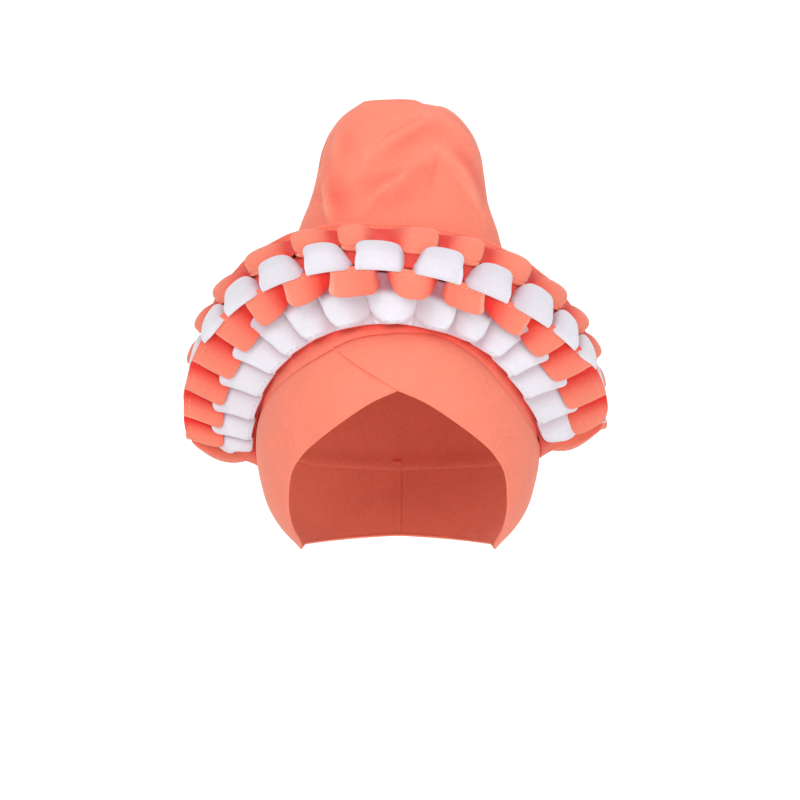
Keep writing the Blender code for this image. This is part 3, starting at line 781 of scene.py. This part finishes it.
class TurbanColours(bpy.types.PropertyGroup):
    """Colours of the turban cap's cloth and thread."""

    coral: bpy.props.FloatVectorProperty(
        name="Coral cloth", description="Colour of the coral cloth",
        default=(0.93, 0.234, 0.152), subtype="COLOR",
    )
    # Painted shade: the coral cloth's colour in its shaded folds and gaps
    coral_painted_shade: bpy.props.FloatVectorProperty(
        name="Coral in the folds", description="Colour of the coral cloth deep in its folds",
        default=(0.78, 0.026, 0.017), subtype="COLOR",
    )
    # Painted highlight: the coral cloth's colour along lit folded edges and ridges
    coral_painted_highlight: bpy.props.FloatVectorProperty(
        name="Coral on edges", description="Colour of the coral cloth along its folded edges",
        default=(1.0, 0.40, 0.29), subtype="COLOR",
    )
    coral_sheen: bpy.props.FloatVectorProperty(
        name="Coral sheen", description="Colour of the fuzz on the coral cloth",
        default=(1.0, 0.62, 0.52), subtype="COLOR",
    )
    white: bpy.props.FloatVectorProperty(
        name="White cloth", description="Colour of the white cloth",
        default=(0.735, 0.70, 0.765), subtype="COLOR",
    )
    # Painted shade: the white cloth's colour in its shaded folds and under the next row
    white_painted_shade: bpy.props.FloatVectorProperty(
        name="White in the folds", description="Colour of the white cloth deep in its folds",
        default=(0.46, 0.17, 0.21), subtype="COLOR",
    )
    # Painted light and highlight: the white cloth's lighter colour on its edges and faces; it also tints
    # the white cloth's sheen
    white_painted_light_and_sheen: bpy.props.FloatVectorProperty(
        name="White on edges", description="Colour of the white cloth along its folded edges",
        default=(0.90, 0.91, 0.98), subtype="COLOR",
    )
    coral_thread: bpy.props.FloatVectorProperty(
        name="Coral thread", description="Colour of the topstitching on coral cloth",
        default=(1.0, 0.40, 0.27), subtype="COLOR",
    )
    white_thread: bpy.props.FloatVectorProperty(
        name="White thread", description="Colour of the stitching on white cloth",
        default=(0.80, 0.73, 0.80), subtype="COLOR",
    )
    stage: bpy.props.FloatVectorProperty(
        name="Stage", description="Colour of the floor and backdrop",
        default=(0.96, 0.96, 0.95), subtype="COLOR",
    )


def new_material(name):
    """A new material with nodes, and its shader and its texture coordinates."""
    material = bpy.data.materials.new(name)
    material.use_nodes = True
    nodes = material.node_tree.nodes
    return material, nodes["Principled BSDF"], nodes.new("ShaderNodeTexCoord")


def link(material, source, target):
    """Joins two sockets of a material."""
    material.node_tree.links.new(source, target)


def new_node(material, kind, values):
    """A node of a material, with the values of its sockets by name."""
    node = material.node_tree.nodes.new(kind)
    for socket, value in values.items():
        node.inputs[socket].default_value = value
    return node


def noise_node(material, place, scale, detail):
    noise = new_node(material, "ShaderNodeTexNoise", {"Scale": scale, "Detail": detail})
    link(material, place.outputs["Object"], noise.inputs["Vector"])
    return noise


def tone_node(material, attribute, values):
    """A colour mixed in as strongly as an attribute of the cloth says."""
    amount = material.node_tree.nodes.new("ShaderNodeAttribute")
    amount.attribute_name = attribute
    tone = material.node_tree.nodes.new("ShaderNodeMix")
    tone.data_type = "RGBA"
    for socket, colour in values.items():
        tone.inputs[socket].default_value = (*colour, 1)
    link(material, amount.outputs["Fac"], tone.inputs["Factor"])
    return tone


def cloth_tones(material, shader, place, colour, painted_shade_colour, painted_light_colour, speckle):
    """The cloth's colour, with painted shade and painted light mixed in as its fold and edge attributes
    say, a soft mottle and a fine grain.
    """
    # Painted shade from the fold attribute, then painted light and highlights from the edge attribute
    tone = tone_node(material, "fold", {"A": colour, "B": painted_shade_colour})
    with_painted_light = tone_node(material, "edge", {"B": painted_light_colour})
    link(material, tone.outputs["Result"], with_painted_light.inputs["A"])
    mottle = noise_node(material, place, 55, 5)
    spread = new_node(material, "ShaderNodeMapRange", {"To Min": 0.90, "To Max": 1.06})
    link(material, mottle.outputs["Fac"], spread.inputs["Value"])
    grain = noise_node(material, place, 520, 3)
    specks = new_node(material, "ShaderNodeMapRange", {
        "From Min": 0.3, "From Max": 0.7, "To Min": 1 - speckle, "To Max": 1 + speckle,
    })
    link(material, grain.outputs["Fac"], specks.inputs["Value"])
    uneven = material.node_tree.nodes.new("ShaderNodeMath")
    uneven.operation = "MULTIPLY"
    link(material, spread.outputs["Result"], uneven.inputs[0])
    link(material, specks.outputs["Result"], uneven.inputs[1])
    shade = material.node_tree.nodes.new("ShaderNodeHueSaturation")
    link(material, with_painted_light.outputs["Result"], shade.inputs["Color"])
    link(material, uneven.outputs["Value"], shade.inputs["Value"])
    link(material, shade.outputs["Color"], shader.inputs["Base Color"])


def cloth_relief(material, shader, place):
    """The knit's fine ribs and courses, along the cloth, and a soft rumple."""
    ribs = new_node(material, "ShaderNodeTexWave", {"Scale": 320, "Distortion": 1.2, "Detail Scale": 4})
    ribs.bands_direction = "X"
    courses = new_node(material, "ShaderNodeTexWave", {"Scale": 260, "Distortion": 1.5})
    courses.bands_direction = "DIAGONAL"
    knit = material.node_tree.nodes.new("ShaderNodeMath")
    knit.operation = "ADD"
    for wave, socket in ((ribs, 0), (courses, 1)):
        link(material, place.outputs["UV"], wave.inputs["Vector"])
        link(material, wave.outputs["Fac"], knit.inputs[socket])
    weave = new_node(material, "ShaderNodeBump", {"Strength": 0.16, "Distance": 0.0003})
    link(material, knit.outputs["Value"], weave.inputs["Height"])
    rumple = noise_node(material, place, 95, 3)
    soft = new_node(material, "ShaderNodeBump", {"Strength": 0.22, "Distance": 0.0012})
    link(material, rumple.outputs["Fac"], soft.inputs["Height"])
    link(material, weave.outputs["Normal"], soft.inputs["Normal"])
    link(material, soft.outputs["Normal"], shader.inputs["Normal"])


def cloth_material(name, colour, painted_shade_colour, painted_light_colour, sheen, speckle):
    """Stretch knit: painted shade in its folds and painted light on its edges, fine ribs and a fuzzy
    sheen.
    """
    found = bpy.data.materials.get(name)
    if found:
        return found
    material, shader, place = new_material(name)
    cloth_tones(material, shader, place, colour, painted_shade_colour, painted_light_colour, speckle)
    cloth_relief(material, shader, place)
    shader.inputs["Roughness"].default_value = 0.72
    shader.inputs["Specular IOR Level"].default_value = 0.25
    shader.inputs["Sheen Weight"].default_value = 0.40
    shader.inputs["Sheen Tint"].default_value = (*sheen, 1)
    shader.inputs["Sheen Roughness"].default_value = 0.5
    return material


def coral_material():
    colours = bpy.context.scene.turban_colours
    return cloth_material(
        "coral_knit", tuple(colours.coral), tuple(colours.coral_painted_shade), tuple(colours.coral_painted_highlight),
        tuple(colours.coral_sheen), CORAL_SPECKLE,
    )


def white_material():
    colours = bpy.context.scene.turban_colours
    return cloth_material(
        "white_knit", tuple(colours.white), tuple(colours.white_painted_shade), tuple(colours.white_painted_light_and_sheen),
        tuple(colours.white_painted_light_and_sheen), WHITE_SPECKLE,
    )


def thread_material(name, colour):
    """Twisted sewing thread: fine slanting plies with painted shade between them, and a little gloss."""
    found = bpy.data.materials.get(name)
    if found:
        return found
    material, shader, place = new_material(name)
    plies = new_node(material, "ShaderNodeTexWave", {"Scale": 700})
    plies.bands_direction = "DIAGONAL"
    link(material, place.outputs["Object"], plies.inputs["Vector"])
    tone = material.node_tree.nodes.new("ShaderNodeMix")
    tone.data_type = "RGBA"
    tone.inputs["A"].default_value = (*(PLY_SHADE * c for c in colour), 1)
    tone.inputs["B"].default_value = (*colour, 1)
    link(material, plies.outputs["Fac"], tone.inputs["Factor"])
    link(material, tone.outputs["Result"], shader.inputs["Base Color"])
    bump = new_node(material, "ShaderNodeBump", {"Strength": 0.3, "Distance": 0.0001})
    link(material, plies.outputs["Fac"], bump.inputs["Height"])
    link(material, bump.outputs["Normal"], shader.inputs["Normal"])
    shader.inputs["Roughness"].default_value = 0.5
    return material


def grid_faces(rows, columns, closed=False):
    """Quads between neighbouring rows and columns of a grid of points, numbered row by row."""
    i, j = np.meshgrid(np.arange(rows - 1), np.arange(columns if closed else columns - 1), indexing="ij")
    k = (j + 1) % columns
    corners = (i * columns + j, i * columns + k, (i + 1) * columns + k, (i + 1) * columns + j)
    return np.stack(corners, axis=-1).reshape(-1, 4).tolist()


def cloth_lengths(points, axis):
    """How far along the cloth each grid point lies, measured in metres."""
    steps = np.linalg.norm(np.diff(points, axis=axis), axis=-1)
    total = np.cumsum(steps, axis=axis)
    pad = [(0, 0), (0, 0)]
    pad[axis] = (1, 0)
    return np.pad(total, pad)


def new_object(name, data):
    """A new object of the scene, at the origin."""
    obj = bpy.data.objects.new(name, data)
    bpy.context.scene.collection.objects.link(obj)
    return obj


def cloth_piece(
    name, points, material, thickness, offset, outside, fold=None, edge=None, closed=False, tip=None,
    rounds=1,
):
    """A sheet of cloth from a grid of points, with its thickness, weave coordinates, painted shade and
    painted light.

    Offset -1 grows the cloth inwards and 0 both ways. Outside is a direction that the cloth at the
    grid's middle looks in.
    """
    points = np.asarray(points, float)
    rows, columns = points.shape[:2]
    corners = points.reshape(-1, 3).tolist()
    faces = grid_faces(rows, columns, closed)
    along = cloth_lengths(points, 1).mean(axis=0) * np.ones((rows, 1))
    across = cloth_lengths(points, 0)
    flat = np.stack([along, across], axis=-1).reshape(-1, 2)
    tones = {}
    for tone, values in (("fold", fold), ("edge", edge)):
        tones[tone] = np.zeros(rows * columns) if values is None else np.asarray(values, float).ravel()
    if tip is not None:
        corners.append(tuple(tip))
        start = (rows - 1) * columns
        faces += [[start + j, start + (j + 1) % columns, len(corners) - 1] for j in range(columns)]
        flat = np.vstack([flat, flat[-1]])
        tones = {tone: np.append(values, 0) for tone, values in tones.items()}
    mesh = bpy.data.meshes.new(name)
    mesh.from_pydata(corners, [], faces)
    obj = new_object(name, mesh)
    middle = (rows // 2) * (columns if closed else columns - 1) + columns // 2
    if mesh.polygons[middle].normal.dot(Vector(outside)) < 0:
        mesh.flip_normals()
    weave = mesh.uv_layers.new(name="weave")
    index = np.empty(len(mesh.loops), int)
    mesh.loops.foreach_get("vertex_index", index)
    weave.data.foreach_set("uv", flat[index].ravel())
    for tone, values in tones.items():
        mesh.attributes.new(tone, "FLOAT", "POINT").data.foreach_set("value", values)
    mesh.materials.append(material)
    mesh.shade_smooth()
    wall = obj.modifiers.new("cloth", "SOLIDIFY")
    wall.thickness = thickness
    wall.offset = offset
    if rounds:
        rounding = obj.modifiers.new("rounding", "SUBSURF")
        rounding.levels = rounding.render_levels = rounds
    return obj


def finish_piece(obj, slot, *nodes):
    """A piece rides the cap's body and replaces the nodes that it stands for; its slot is not used."""
    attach(obj, "root")
    if nodes:
        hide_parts(*nodes)


def stitch_run(name, line, normals, shown, material, slot):
    """A row of topstitches laid along a line on the cloth wherever it is shown, as one piece."""
    sizes = bpy.context.scene.turban_sizes
    steps = np.linalg.norm(np.diff(line, axis=0), axis=1)
    travel = np.concatenate([[0], np.cumsum(steps)])
    pitch = sizes.stitch_length + sizes.stitch_gap
    starts = np.arange(sizes.stitch_gap, travel[-1] - sizes.stitch_length, pitch)
    stations, swell, bow = np.array(STITCH_SHAPE).T
    around = np.radians(np.arange(0, 360, 360 / STITCH_SIDES))
    verts, faces = [], []

    def at(distance, values):
        return np.stack([np.interp(distance, travel, values[:, k]) for k in range(3)], axis=-1)

    for start in starts:
        if not shown[np.searchsorted(travel, start)]:
            continue
        spots = at(start + stations * sizes.stitch_length, line)
        up = unit(at(start + stations * sizes.stitch_length, normals))
        ahead = unit(np.gradient(spots, axis=0))
        across = unit(np.cross(ahead, up))
        base = len(verts)
        for k in range(len(stations)):
            centre = spots[k] + up[k] * sizes.thread * bow[k]
            for turn in around:
                ring = across[k] * np.cos(turn) + up[k] * np.sin(turn)
                verts.append(centre + ring * sizes.thread * swell[k])
        count = len(around)
        for k in range(len(stations) - 1):
            for j in range(count):
                a, b = base + k * count + j, base + k * count + (j + 1) % count
                faces.append((a, b, b + count, a + count))
        faces.append([base + j for j in range(count)][::-1])
        faces.append([base + (len(stations) - 1) * count + j for j in range(count)])
    mesh = bpy.data.meshes.new(name)
    mesh.from_pydata([tuple(v) for v in verts], [], faces)
    mesh.materials.append(material)
    mesh.shade_smooth()
    finish_piece(new_object(name, mesh), slot)


def loop_cells(name, steps):
    """Evenly spaced cells from one end of a ribbon row to the other."""
    middle = LOOP_MIDDLES[name]
    last = len(LOOP_FOLDS[name]) - 1
    return np.linspace(-middle, last - middle, round(last * steps) + 1)


def ribbon_looks(name):
    """Where the outer side of a ribbon looks."""
    return (0, -1, 0) if "front" in name else (0, -0.6, 0.8)


def ribbon_line(name, share, rise):
    """A line on a ribbon's outer side at one share of its width, its directions, and where it shows."""
    shares = np.array([share - LINE_SPAN, share, share + LINE_SPAN])
    points, fold, _ = loop_surface(name, loop_cells(name, LINE_STEPS), shares)
    along = np.gradient(points[:, 1], axis=0)
    across = points[:, 2] - points[:, 0]
    normals = unit(np.cross(along, across))
    if np.median(normals @ np.array(ribbon_looks(name))) < 0:
        normals = -normals
    return points[:, 1] + normals * rise, normals, fold[:, 1] < STITCH_SHOWN * fold[:, 1].max()


class TURBAN_OT_dome(bpy.types.Operator):
    """Builds the cap's dome, from the band seam up to the crown seam"""

    bl_idname = "turban.dome"
    bl_label = "Cap dome"

    def execute(self, context):
        sizes = context.scene.turban_sizes
        angles = np.linspace(-180, 180, DOME_STEPS, endpoint=False)
        low = seam_height(angles)
        length = CROWN_SEAM - low
        depth, rate, pucker_place, pucker_width = PUCKERS
        rows = []
        for t in np.concatenate([DOME_UNDER, np.linspace(0, 1, DOME_ROWS)]):
            height = low + (length - SEAM_CLEAR) * t
            dip = np.where(t < 0, SEAM_UNDER, hump(t * length, *BAND_SEAM_DIP))
            dip = dip + hump((1 - t) * length, *CROWN_SEAM_DIP)
            pucker = hump(t * length - pucker_place, depth, pucker_width)
            pucker = pucker * np.sin(np.radians(angles) * rate)
            rows.append(cap_point(angles, height, pucker - dip))
        # Painted shadow on the dome close below the brim's front seam
        dome = cloth_piece(
            "cap_dome", rows, coral_material(), sizes.cap_cloth, -1, (0, -1, 0),
            fold=brim_shade(rows), closed=True,
        )
        finish_piece(dome, "coral_cloth", "cap_body")
        return {"FINISHED"}


class TURBAN_OT_crown(bpy.types.Operator):
    """Builds the tall crown with its soft folds"""

    bl_idname = "turban.crown"
    bl_label = "Crown"

    def execute(self, context):
        sizes = context.scene.turban_sizes
        angles = np.linspace(-180, 180, CROWN_STEPS, endpoint=False)
        low, high = CROWN_SEAM + SEAM_CLEAR, RINGS[-1][0]
        rows = [cap_point(angles, low - drop + 0 * angles, -SEAM_UNDER) for drop in CROWN_UNDER]
        for t in np.linspace(0, 1, CROWN_ROWS):
            height = low + (high - low) * np.sin(t * np.pi / 2) ** TIP_CROWDING
            rows.append(cap_point(angles, height + 0 * angles, -hump(height - low, *CROWN_SEAM_DIP)))
        # The crown's creases get painted shade and its ridges painted highlights
        shaped, deep, painted_light = folded(np.array(rows))
        crown = cloth_piece(
            "crown", shaped, coral_material(), sizes.cap_cloth, -1, (0, -1, 0), fold=deep, edge=painted_light,
            closed=True, tip=CROWN_TIP, rounds=0,
        )
        finish_piece(crown, "coral_cloth", "crown_tower")
        return {"FINISHED"}


class TURBAN_OT_bands(bpy.types.Operator):
    """Builds the two front bands, one crossing over the other"""

    bl_idname = "turban.bands"
    bl_label = "Front bands"

    def execute(self, context):
        sizes = context.scene.turban_sizes
        tip_angle, tip_height = CROSSING_TIP
        start = front_edge_height(0.0)
        depth, wave, rate, wave_reach = BAND_WAVES
        for name, node, side, over, area in BANDS:
            ahead = np.linspace(-tip_angle, 0, BAND_END_STEPS, endpoint=False)
            reach = np.concatenate([ahead, np.linspace(0, BAND_BACK[name], BAND_STEPS)])
            top = seam_height(side * reach) - SEAM_CLEAR
            crossing = start + (tip_height - start) * np.clip(-reach / tip_angle, 0, 1)
            low = np.minimum(np.where(reach < 0, crossing, front_edge_height(reach)), top - BAND_LEAST)
            rows, seam = [], []
            for t in (1 - np.cos(np.linspace(0, np.pi, BAND_ROWS))) / 2:
                height = top + (low - top) * t
                from_top = top - height
                seam_fade = ramp(from_top, 0.0, SEAM_FADE)
                if over:
                    lift = sizes.crossing_lift * (1 - ramp(reach, *CROSSING_RAMP))
                    lift = lift * (SEAM_LIFT_SHARE + (1 - SEAM_LIFT_SHARE) * seam_fade)
                else:
                    lift = -crossing_sink(reach, height, start, seam_fade)
                lift = lift - hump(from_top, *BAND_SEAM_DIP) + edge_roll(height - low)
                drift = np.sin(reach / wave + height * rate) * hump(reach, depth, wave_reach)
                rows.append(cap_point(side * reach, height, lift + drift * seam_fade))
                # Painted shade along the band seam
                seam.append(hump(from_top, *SEAM_SHADE))
            band = cloth_piece(
                name, rows, coral_material(), sizes.cap_cloth, -1, (side, 0.1, 0),
                fold=np.maximum(brim_shade(rows), seam),
            )
            finish_piece(band, "coral_cloth", node)
        return {"FINISHED"}


def edge_roll(from_low):
    """The ridge and the roll of the bands' front edge, at a height over it."""
    place, ridge, width = EDGE_RIDGE
    return hump(from_low - place, ridge, width) - hump(from_low, *EDGE_ROLL)


def crossing_sink(reach, height, start, seam_fade):
    """How far the lower band gives way under the upper one, at the crossing and at the back."""
    tip_angle, tip_height = CROSSING_TIP
    line = start + (tip_height - start) * np.clip(reach / tip_angle, -1, 1)
    before, after = COVER_ENDS
    covered = ramp(height - line, *COVER_HEIGHTS)
    covered = covered * (1 - ramp(reach, tip_angle + before, tip_angle + after))
    in_open, by_seam = CROSSING_SINK
    return covered * (in_open + by_seam * (1 - seam_fade)) + SEAM_UNDER * ramp(reach, *BAND_BACK_SINK)


def brim_shade(rows):
    """Painted shadow on the cap's cloth close below the brim's front seam."""
    seam = cap_point(*seam_place("front", np.linspace(*BRIM_ENDS, SEAM_STEPS)), SEAT)
    rows = np.array(rows)
    away = np.stack([np.linalg.norm(seam - row[:, None], axis=-1).min(axis=1) for row in rows])
    strength, reach, power = BRIM_SHADE
    return hump(away, strength, reach, power)


def end_wall(section, places):
    """Rows of the closed wall at one end of the brim, from its outline in to the cap."""
    outer = brim_face(section, places)
    s = np.linspace(0, 1, len(places))
    front, back = seam_place("front", section), seam_place("back", section)
    inner = cap_point(*(a + (b - a) * s for a, b in zip(front, back)), SEAT)
    inner[0], inner[-1] = outer[0], outer[-1]
    depth, across, inwards = WALL_FOLDS
    wall = []
    for t in np.linspace(0, 1, WALL_ROWS)[1:]:
        row = outer + (inner - outer) * t
        fold = depth * np.sin(s * across + inwards * t) * np.sin(np.pi * t)
        row[:, 2] -= (BRIM_END_BULGE * 4 * t * (1 - t) + fold) * np.sin(np.pi * s)
        wall.append(row)
    return wall


class TURBAN_OT_brim(bpy.types.Operator):
    """Builds the hollow brim body that carries the ribbons"""

    bl_idname = "turban.brim"
    bl_label = "Brim body"

    def execute(self, context):
        sizes = context.scene.turban_sizes
        sections = np.linspace(*BRIM_ENDS, BRIM_STEPS)
        face = np.linspace(0, 1, FACE_ROWS)
        top = np.linspace(1, 3, TOP_ROWS)
        rear = np.linspace(3, 4, REAR_ROWS)
        places = np.concatenate([face, top[1:], rear[1:]])
        body = brim_face(sections[:, None], places[None, :])
        depth, wave, sets_in, ends = REAR_WAVES
        waves = depth * ramp(places, *sets_in) * (1 - ramp(places, *ends))
        body[..., 1] += np.sin(sections / wave)[:, None] * waves
        walls = [end_wall(section, places) for section in BRIM_ENDS]
        rows = walls[0][::-1] + list(body) + walls[1]
        # Painted shade on the brim between the ribbons and on its end walls
        fold = np.tile(BRIM_PAINTED_SHADE * (1 - ramp(places, *BRIM_PAINTED_SHADE_ENDS)), (len(rows), 1))
        lost, fades = BRIM_PAINTED_SHADE_FADE
        count = len(walls[0])
        fold[count:-count] *= (1 - lost * ramp(np.abs(sections), *fades))[:, None]
        wall_painted_shade = END_WALL_PAINTED_SHADE * np.linspace(1, 0, count)[:, None]
        fold[:count] *= wall_painted_shade[::-1]
        fold[-count:] *= wall_painted_shade
        brim = cloth_piece(
            "brim_body", rows, coral_material(), sizes.cap_cloth, -1, (0, -1, 0), fold=fold,
        )
        finish_piece(brim, "coral_cloth", "brim_base")
        return {"FINISHED"}


class TURBAN_OT_loops(bpy.types.Operator):
    """Builds the four rows of looped ribbon"""

    bl_idname = "turban.loops"
    bl_label = "Looped ribbons"

    def execute(self, context):
        sizes = context.scene.turban_sizes
        for name in LOOPS:
            shares = np.linspace(0, 1, LOOP_ROWS + 1) ** ROW_CROWDING
            # Fold carries each ribbon's painted shade and edge its painted light
            points, fold, edge = loop_surface(name, loop_cells(name, LOOP_STEPS), shares)
            white = "white" in name
            material = white_material() if white else coral_material()
            ribbon = cloth_piece(
                name.replace("loops", "ribbon"), points, material, sizes.ribbon_cloth, 0,
                ribbon_looks(name), fold=fold, edge=edge,
            )
            finish_piece(ribbon, "white_cloth" if white else "coral_cloth", name)
        return {"FINISHED"}


class TURBAN_OT_tape(bpy.types.Operator):
    """Builds the tape along the brim's back rim"""

    bl_idname = "turban.tape"
    bl_label = "Rim tape"

    def execute(self, context):
        sizes = context.scene.turban_sizes
        sections = np.linspace(*TAPE_ENDS, TAPE_STEPS)
        rows = tape_rows(sections, *zip(*TAPE_ROWS))
        tape = cloth_piece("tape", rows, coral_material(), sizes.tape_cloth, 0, (0, -1, 0))
        finish_piece(tape, "coral_cloth", "rim_tape")
        return {"FINISHED"}


def tape_rows(sections, places, rises):
    """Rows of points along the tape, at places on the brim and heights over it."""
    depth, wave = TAPE_RIPPLE
    rows = []
    for place, rise in zip(places, rises):
        out = brim_normal(sections, np.full(sections.shape, min(place, 3.0)), "top")
        ripple = depth * np.sin(sections / wave)
        rows.append(brim_face(sections, min(place, 3.0)) + out * (rise + ripple)[:, None])
    return np.array(rows)


class TURBAN_OT_stitching(bpy.types.Operator):
    """Lays the topstitching along the hems of the ribbons and the tape"""

    bl_idname = "turban.stitching"
    bl_label = "Topstitching"

    def execute(self, context):
        sizes = context.scene.turban_sizes
        colours = context.scene.turban_colours
        coral = thread_material("coral_thread", tuple(colours.coral_thread))
        white = thread_material("white_thread", tuple(colours.white_thread))
        for name, ribbon, share in STITCH_ROWS:
            line, normals, shown = ribbon_line(ribbon, share, sizes.ribbon_cloth / 2)
            on_white = "white" in ribbon
            slot = "white_cloth" if on_white else "coral_cloth"
            stitch_run(name, line, normals, shown, white if on_white else coral, slot)
        sections = np.linspace(TAPE_ENDS[0] + 1, TAPE_ENDS[1] - 1, TAPE_LINE_STEPS)
        rows = tape_rows(sections, (3.0, 3.0, 3.0), TAPE_STITCH_RISES)
        normals = unit(np.cross(np.gradient(rows[1], axis=0), rows[2] - rows[0]))
        if normals[len(normals) // 2][1] > 0:
            normals = -normals
        line = rows[1] + normals * sizes.tape_cloth / 2
        shown = np.ones(len(sections), bool)
        stitch_run("stitches_tape", line, normals, shown, coral, "coral_cloth")
        return {"FINISHED"}


def soft_light(name, spot, aim, size, power):
    data = bpy.data.lights.new(name, "AREA")
    data.shape = "DISK"
    data.size = size
    data.energy = power
    lamp = new_object(name, data)
    lamp.location = spot
    lamp.rotation_euler = (Vector(aim) - Vector(spot)).to_track_quat("-Z", "Y").to_euler()


def paper_backdrop(colour):
    """A floor that bends up into a wall, in matt paper."""
    width, behind, in_front, height, bend = BACKDROP
    floor = CAD_BOX[0][2] - FLOOR_DROP
    turn = np.linspace(0, np.pi / 2, BEND_POINTS)
    profile = [(-in_front, floor)]
    profile += [(behind - bend + bend * np.sin(a), floor + bend - bend * np.cos(a)) for a in turn]
    profile += [(behind, floor + height)]
    points = np.array([[(x, y, z) for y, z in profile] for x in (-width / 2, width / 2)])
    mesh = bpy.data.meshes.new("backdrop")
    mesh.from_pydata(points.reshape(-1, 3).tolist(), [], grid_faces(*points.shape[:2]))
    mesh.shade_smooth()
    if mesh.polygons[0].normal.z < 0:
        mesh.flip_normals()
    paper = bpy.data.materials.new("backdrop_paper")
    paper.use_nodes = True
    shader = paper.node_tree.nodes["Principled BSDF"]
    shader.inputs["Base Color"].default_value = (*colour, 1)
    shader.inputs["Roughness"].default_value = 0.95
    shader.inputs["Specular IOR Level"].default_value = 0.0
    mesh.materials.append(paper)
    new_object("backdrop", mesh)


class TURBAN_OT_stage(bpy.types.Operator):
    """Sets the pale floor and backdrop, the soft lights and the camera"""

    bl_idname = "turban.stage"
    bl_label = "Stage"

    def execute(self, context):
        scene = context.scene
        paper_backdrop(scene.turban_colours.stage)
        centre_x, centre_z = PHOTO_CENTRE
        for name, spot, size, power in LIGHTS:
            aim = REAR_AIM if name == "rear" else (centre_x, 0, centre_z)
            soft_light(name, spot, aim, size, power)
        world = bpy.data.worlds.new("soft_room")
        world.use_nodes = True
        background = world.node_tree.nodes["Background"]
        background.inputs["Color"].default_value = (1, 1, 1, 1)
        background.inputs["Strength"].default_value = ROOM_LIGHT
        scene.world = world
        data = bpy.data.cameras.new("photo_camera")
        data.sensor_width = SENSOR * 1000
        data.lens = SENSOR * 1000 * CAMERA_BACK / PHOTO_FIELD
        data.clip_end = 50
        camera = new_object("photo_camera", data)
        camera.location = (centre_x, -CAMERA_BACK, centre_z)
        camera.rotation_euler = (np.pi / 2, 0, 0)
        scene.camera = camera
        scene.view_settings.view_transform = "Standard"
        return {"FINISHED"}


class TURBAN_PT_sidebar(bpy.types.Panel):
    """Lists the turban cap's sizes, colours and pieces."""

    bl_label = "Turban cap"
    bl_idname = "TURBAN_PT_sidebar"
    bl_space_type = "VIEW_3D"
    bl_region_type = "UI"
    bl_category = "Turban cap"

    def draw(self, context):
        for group in (context.scene.turban_sizes, context.scene.turban_colours):
            box = self.layout.box()
            for name in group.bl_rna.properties.keys():
                if name not in ("name", "rna_type"):
                    box.prop(group, name)
        for operator in OPERATORS:
            self.layout.operator(operator.bl_idname)


OPERATORS = (
    TURBAN_OT_stage,
    TURBAN_OT_bands,
    TURBAN_OT_dome,
    TURBAN_OT_crown,
    TURBAN_OT_brim,
    TURBAN_OT_loops,
    TURBAN_OT_tape,
    TURBAN_OT_stitching,
)
CLASSES = (TurbanSizes, TurbanColours, *OPERATORS, TURBAN_PT_sidebar)


def register():
    for item in CLASSES:
        bpy.utils.register_class(item)
    bpy.types.Scene.turban_sizes = bpy.props.PointerProperty(type=TurbanSizes)
    bpy.types.Scene.turban_colours = bpy.props.PointerProperty(type=TurbanColours)


def unregister():
    del bpy.types.Scene.turban_colours
    del bpy.types.Scene.turban_sizes
    for item in reversed(CLASSES):
        bpy.utils.unregister_class(item)


def main():
    register()
    bpy.ops.turban.stage()
    bpy.ops.turban.bands()
    bpy.ops.turban.dome()
    bpy.ops.turban.crown()
    bpy.ops.turban.brim()
    bpy.ops.turban.loops()
    bpy.ops.turban.tape()
    bpy.ops.turban.stitching()


if __name__ == "__main__":
    main()
